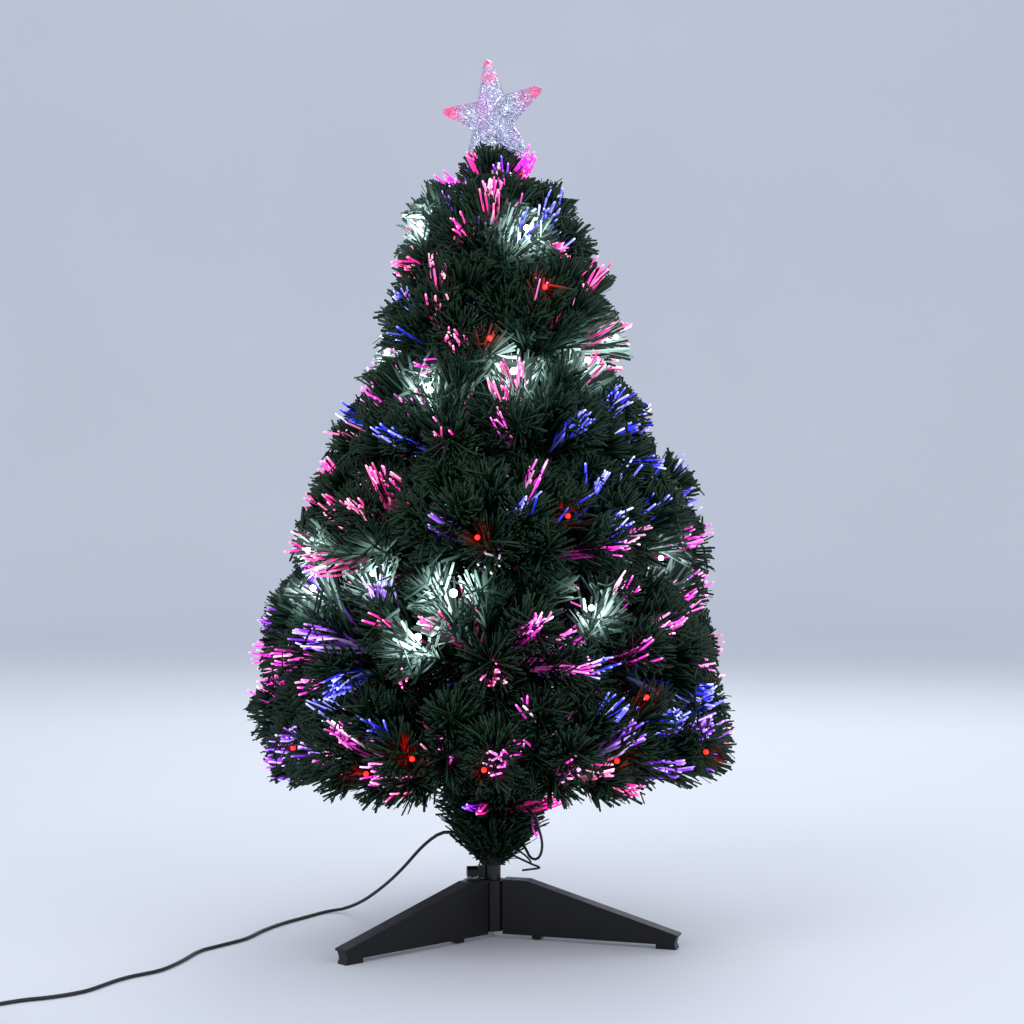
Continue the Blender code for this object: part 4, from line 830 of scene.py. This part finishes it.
def round_wire(name, line, radius, roundness):
    """A curve with a round section along a line of points, closed at its ends."""
    data = bpy.data.curves.new(name, "CURVE")
    data.dimensions = "3D"
    data.bevel_depth = radius
    data.bevel_resolution = roundness
    data.use_fill_caps = True
    spline = data.splines.new("POLY")
    spline.points.add(len(line) - 1)
    for point, place in zip(spline.points, line):
        point.co = (*place, 1.0)
    return data


def add_camera():
    data = bpy.data.cameras.new("camera")
    data.sensor_width = SENSOR_WIDTH
    data.lens = FOCAL_PIXELS / PHOTO_SIDE * SENSOR_WIDTH
    data.clip_start = 0.05
    camera = bpy.data.objects.new("camera", data)
    camera.location = CAMERA_PLACE
    camera.rotation_euler = (math.pi / 2, 0, 0)
    bpy.context.scene.collection.objects.link(camera)
    bpy.context.scene.camera = camera


def add_cord():
    """The lead as one curve, from the light unit along the floor into its coil."""
    coil = coil_line()
    line = smooth_line((
        CORD_START, RELIEF_END, *metres(CORD_FALL), *((x, y, CORD_FLOOR) for x, y in metres(CORD_ON_FLOOR)),
        (*COIL_ENTRY, COIL_FLOOR), coil[0] + Vector((0, CORD_DIAMETER, 0)), coil[0],
    ), CORD_POINTS)
    data = round_wire("lead", [*line, *coil[1:]], CORD_DIAMETER / 2, 4)
    lead = piece("power_lead", data, "lead", "cord", "root", "power_cord", "power_cord_coil")


def dress_nodes():
    """Gives each CAD node that stays its own finish."""
    finish_of = {name: finish for finish, names in NODES_BY_FINISH.items() for name in names}
    for name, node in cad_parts.items():
        node.data.materials.clear()
        node.data.materials.append(finishes[finish_of.get(name, "collar")])


def add_stage():
    """A pale floor and backdrop, and soft light from above, in front and behind."""
    deselect()
    bpy.ops.mesh.primitive_plane_add(size=1.0, location=(0, 0, 0))
    floor = bpy.context.object
    floor.name = "studio_floor"
    floor.scale = (8.0, 10.0, 1.0)
    floor.location = (0.0, 1.5, 0.0)
    bpy.ops.object.transform_apply(location=True, scale=True)
    bpy.ops.object.mode_set(mode="EDIT")
    pick(floor.data, "edges", lambda edge: all(vertex.co.y > 3 for vertex in edge.verts))
    bpy.ops.mesh.extrude_region_move(TRANSFORM_OT_translate={"value": (0, 0, 5.0)})
    bpy.ops.object.mode_set(mode="OBJECT")
    bend = floor.modifiers.new("curved corner", "BEVEL")
    bend.width = 1.6
    bend.segments = 12
    bend.affect = "EDGES"
    bend.limit_method = "ANGLE"
    bpy.ops.object.modifier_apply(modifier=bend.name)
    bpy.ops.object.shade_smooth()
    finish = Finish("pale floor")
    shades = finish.blend(finish.noise(1.2), (0.72, 0.74, 0.78), (0.78, 0.80, 0.84))
    floor.data.materials.append(finish.done(Base_Color=shades, Roughness=0.85))
    world = bpy.data.worlds.new("soft light")
    bpy.context.scene.world = world
    world.use_nodes = True
    background = world.node_tree.nodes["Background"]
    background.inputs["Color"].default_value = (0.80, 0.86, 1.0, 1.0)
    background.inputs["Strength"].default_value = 0.80
    for name, place, size, power in (
        ("key light", (-1.6, -2.0, 2.4), 1.6, 27.0),
        ("fill light", (1.9, -1.6, 1.4), 1.8, 16.0),
        ("rim light", (0.4, 2.2, 2.2), 1.8, 27.0),
    ):
        data = bpy.data.lights.new(name, "AREA")
        data.size = size
        data.energy = power
        light = bpy.data.objects.new(name, data)
        light.location = place
        light.rotation_euler = (Vector((0, 0, 0.45)) - Vector(place)).to_track_quat("-Z", "Y").to_euler()
        bpy.context.scene.collection.objects.link(light)
    bpy.context.scene.view_settings.view_transform = "Standard"


def add_branches():
    """All branches, each with its needles and wires, light fibres and lamps."""
    branches = {}
    for whorl, count in enumerate(BRANCHES_PER_WHORL):
        for number in range(count):
            azimuth = math.radians(FIRST_AZIMUTHS_DEG[whorl] + 360.0 * number / count)
            branches[f"branch_{whorl + 1}_{number + 1}"] = branch_sprigs(whorl, azimuth)
    lamps = place_lamps(branches)
    for name, sprigs in branches.items():
        add_foliage(name, sprigs, lamps)


def place_lamps(branches):
    """Sets each lamp on the wire nearest to its pixel's line of sight, and some more on the sides and back.

    A lamp is (branch, point on the wire, place, the way it faces, size, colour).
    """
    sight = np.array(CAMERA_PLACE)
    options = [
        (name, sprig.start + sprig.way * sprig.length * share)
        for name, sprigs in branches.items() for sprig in sprigs for share in (0.72, 0.80, 0.88)
    ]
    points = np.array([point for _, point in options])
    lamps = []
    spots = [(*spot, "white") for spot in WHITE_LAMPS] + [(*spot, RED_LAMP_SIZE, "red") for spot in RED_LAMPS]
    for u, v, size, colour in spots:
        line = unit(np.array([(u - PHOTO_SIDE / 2) / FOCAL_PIXELS, 1.0, (PHOTO_SIDE / 2 - v) / FOCAL_PIXELS]))
        nearest = sight + np.outer((points - sight) @ line, line)
        off = np.linalg.norm(points - nearest, axis=1)
        best = np.argmin(off + DEPTH_COST * points[:, 1])
        name, point = options[best]
        place = point + (nearest[best] - point) * min(1.0, LAMP_REACH / max(off[best], 1e-6))
        lamps.append((name, point, place, unit(sight - place), size, colour))
    for index, name in enumerate(sorted(branches)):
        for turn in range(2):
            sprig = branches[name][(index + 2 * turn) % len(branches[name])]
            if sprig.end[1] > 0.01:
                point = sprig.start + sprig.way * sprig.length * 0.85
                out = unit(sprig.way + sprig.ring(index * 2.4 + turn, 0.8)[0])
                colour, size = ("white", BACK_LAMP_SIZE) if (index + turn) % 3 else ("red", RED_LAMP_SIZE)
                lamps.append((name, point, point + out * 0.010, out, size, colour))
    return lamps


def glow_at(point):
    """The name of the glow that the fibres have there: as chosen on the front, by chance behind."""
    u, v = pixel_of(point)
    if point[1] < 0.03:
        return min(GLOWS, key=lambda name: min((x - u) ** 2 + (y - v) ** 2 for x, y in GLOWS[name][1]))
    return ("pink", "magenta", "violet", "blue")[int(chance.integers(4))]


def clear_of_lamps(starts, ways, lengths, lamps):
    """Those of the blades that leave each lamp in view: none passes close in front of it."""
    keep = np.ones(len(starts), bool)
    for _, _, place, out, size, colour in lamps:
        room = 0.0035 + 0.0022 * size if colour == "white" else 0.0040
        for share in np.linspace(0.1, 1.0, 10):
            point = starts + ways * (lengths * share)[:, None] - place
            ahead = np.clip(point @ out, -0.001, 0.15)
            keep &= np.linalg.norm(point - out * ahead[:, None], axis=1) > room
    return starts[keep], ways[keep], lengths[keep]


def add_needles(name, body, node, starts, ways, lengths, lamps=()):
    """One piece of needles, each with its own width, roll and shade."""
    count = len(starts)
    widths = NEEDLE_WIDTH * chance.uniform(*NEEDLE_WIDTH_SPREAD, count)
    places = placed(starts, ways, widths, lengths, NEEDLE_THICKNESS, turns(count))
    shades = chance.uniform(0, 1, count)
    spread(name, [("needle", places, {
        "shade": lambda points, moved: np.repeat(shades, len(points)),
        "lit": lambda points, moved: lamp_light(moved, lamps, shades),
    })], "needle", "needles", body, node)


def add_foliage(name, sprigs, lamps):
    """The needles, wires, light fibres and lamps of one branch."""
    blades = map(np.concatenate, zip(*(sprig.needles() for sprig in sprigs)))
    add_needles(name + "_needles", name, name, *clear_of_lamps(*blades, lamps), lamps)
    stem = sprigs[0]
    wires = placed(
        np.array([sprig.start - sprig.way * (0.002 if sprig is stem else 0.0) for sprig in sprigs]),
        np.array([sprig.way for sprig in sprigs]), TWIG_WIRE_RADIUS, [sprig.length - 0.012 for sprig in sprigs],
    )
    knuckle = placed(
        np.array([stem.start - stem.side * KNUCKLE_WIDTH / 2]), np.array([stem.side]), KNUCKLE_RADIUS, KNUCKLE_WIDTH,
    )
    spread(name + "_wires", [("wire", wires, {}), ("wire", knuckle, {})], "wire", "needles", name, name)
    add_fibres(name, sprigs, lamps)
    mine = [lamp for lamp in lamps if lamp[0] == name]
    if mine:
        add_lamps(name, mine)


def fibre_batch(starts, ways, lengths, colours):
    """Light fibres to be spread: each is faint in its length, bright towards its end and palest at its cut."""
    def glow(points, moved):
        profile = np.interp(points[:, 2], (0, 0.6, 0.66, 0.72, 1.0), (0.05, 0.17, 0.30, 0.85, 1.0))
        made = colours[:, None, :] * profile[None, :, None]
        made += 0.35 * colours.max(axis=1)[:, None, None] * (points[:, 2] > 0.97)[None, :, None]
        return np.concatenate((made, np.ones((*made.shape[:2], 1))), axis=2).reshape(-1, 4)

    return "fibre", placed(starts, ways, FIBRE_RADIUS, lengths, rolls=turns(len(starts))), {"glow": glow}


def add_fibres(name, sprigs, lamps):
    """A bundle of light fibres on most twigs of a branch."""
    batches = []
    for sprig in sprigs:
        at_side = abs(sprig.end[0]) > 0.09 or sprig.end[2] < 0.20
        count = int(chance.choice(BUNDLE_SIZES, p=SIDE_CHANCES if at_side else FRONT_CHANCES))
        glow = glow_at(sprig.end)
        if not count or (glow == "dark" and batches):
            continue
        threads = clear_of_lamps(*sprig.fibres(count), lamps)
        count = len(threads[0])
        pale = (chance.uniform(0.0, 1.0, count) ** 3 * 0.6)[:, None]
        colours = np.array(GLOWS[glow][0]) * (1 - pale) + pale
        batches.append(fibre_batch(*threads, colours * chance.uniform(0.35, 1.0, count)[:, None]))
    spread(name + "_fibres", batches, "fibre", "fibre", name, name)


def add_trunk_fibres(name, bundles, node):
    """Bundles of light fibres that grow straight on the trunk or the leader."""
    batches = []
    for start, tip, room, glow, count in bundles:
        apart = chance.normal(0.0, metres(room), (count, 3))
        starts = metres(start) + apart * 0.2
        lines = ways_and_lengths(metres(tip) + apart - starts)
        level = chance.uniform(0.5, 1.0, count)[:, None]
        batches.append(fibre_batch(starts, *lines, np.array(GLOWS[glow][0]) * level))
    spread(name, batches, "fibre", "fibre", "root", node)


def add_lamps(name, mine):
    """The lenses of a branch's lamps, and their holders and wires."""
    _, roots, starts, ways, sizes, colours = map(np.array, zip(*mine))
    sizes = 0.8 + 0.5 * sizes
    for colour, radius in LAMP_RADII.items():
        chosen = colours == colour
        if chosen.any():
            places = placed(starts[chosen], ways[chosen], radius * sizes[chosen], radius * sizes[chosen])
            spread(f"{name}_{colour}_lamps", [("lamp", places, {
                "along": lambda points, moved: np.tile(np.clip(points[:, 2] / 2.1, 0, 1), len(moved)),
            })], colour, "fibre", name)
    radii = LAMP_HOLDER_RADIUS * sizes
    holders = placed(starts, ways, radii, radii)
    lines = ways_and_lengths(starts - ways * (radii * 2.4)[:, None] - roots)
    wires = placed(roots, lines[0], LAMP_WIRE_RADIUS, lines[1])
    spread(name + "_lamp_holders", [("holder", holders, {}), ("wire", wires, {})], "wire", "needles", name)


def round_the_trunk(radii, heights, angles):
    """Points at each radius, height and angle about the trunk."""
    return np.stack((np.cos(angles) * radii, np.sin(angles) * radii, heights), axis=1)


def add_leader_and_skirt():
    """Needles on the leader up to the star, and those wound round the foot of the trunk, which point up and out."""
    count = LEADER_NEEDLES
    heights = chance.uniform(0.736, 0.786, count)
    angles = turns(count)
    ends = np.minimum(heights + chance.uniform(0.018, 0.048, count), 0.808 + chance.uniform(-0.012, 0.006, count))
    wide = np.interp(ends, (0.745, 0.770, 0.795, 0.812), (0.056, 0.050, 0.036, 0.018))
    wide = wide * np.sqrt(chance.uniform(0.05, 1.0, count))
    starts = round_the_trunk(np.full(count, 0.0035), heights, angles)
    lines = round_the_trunk(wide, ends, angles + chance.uniform(-0.2, 0.2, count)) - starts
    add_needles("leader_needles", "root", "leader_tuft", starts, *ways_and_lengths(lines))
    count = SKIRT_NEEDLES
    roots = chance.uniform(0.0765, 0.150, count)
    angles = turns(count)
    radii = np.interp(roots, (0.0765, 0.083, 0.1245, 0.1300), (0.0128, 0.0166, 0.0166, 0.0124))
    ends = roots + chance.uniform(-0.004, 0.030, count)
    wide = np.interp(ends, (0.074, 0.084, 0.100, 0.120, 0.145, 0.190), (0.017, 0.024, 0.036, 0.052, 0.058, 0.054))
    wide = np.maximum(wide * chance.uniform(0.60, 1.14, count), radii + 0.004)
    starts = round_the_trunk(radii, roots, angles)
    lines = round_the_trunk(wide, ends, angles + chance.uniform(-0.35, 0.35, count)) - starts
    add_needles("skirt_needles", "root", "trunk_skirt", starts, *ways_and_lengths(lines))


def add_foot_wires():
    """A loop of thin black wire that hangs out of the needles on the right, and stray ends of green twig."""
    for name, (finish, radius, route) in FOOT_WIRES.items():
        deselect()
        line = smooth_line(metres(route), FOOT_WIRE_POINTS)
        made = bpy.data.objects.new(name, round_wire(name, line, radius, 3))
        bpy.context.scene.collection.objects.link(made)
        made.select_set(True)
        bpy.context.view_layer.objects.active = made
        bpy.ops.object.convert(target="MESH")
        mesh = bpy.context.object.data
        bpy.data.objects.remove(bpy.context.object)
        piece(name, mesh, finish, "needles", "root")


models.update(
    needle=needle_model(), fibre=fibre_model(), lamp=lamp_model(), holder=holder_model(), wire=wire_model(),
)
finishes.update({name: moulded_plastic(*recipe) for name, recipe in PLASTICS.items()})
finishes.update(
    needle=make_needle_finish(), fibre=make_fibre_finish(), wire=make_wire_finish(), trunk=make_trunk_finish(),
    star=make_star_finish(),
    metal=streaked(
        "plated metal", 400.0, 3.0, (1.0, 1.0, 6.0), (0.55, 0.54, 0.52), (0.75, 0.74, 0.72), (0.18, 0.22),
        (0.1, 0.0001), Metallic=1.0,
    ),
    bundle=streaked(
        "fibre bundle", 900.0, 2.0, (1.0, 1.0, 0.03), (0.30, 0.30, 0.33), (0.70, 0.70, 0.74), (0.15, 0.2),
        (0.5, 0.0004), Specular_IOR_Level=0.6,
    ),
    white=make_lamp_finish("white lamp", (0.55, 0.80, 1.0), (1.0, 1.0, 1.0), 14.0),
    red=make_lamp_finish("red lamp", (1.0, 0.008, 0.006), (1.0, 0.022, 0.014), 3.0),
)
add_camera()
dress_nodes()
add_cord()
add_stage()
add_branches()
add_leader_and_skirt()
add_trunk_fibres("leader_fibres", LEADER_BUNDLES, "leader_tuft")
add_trunk_fibres("skirt_fibres", SKIRT_BUNDLES, "trunk_skirt")
add_foot_wires()
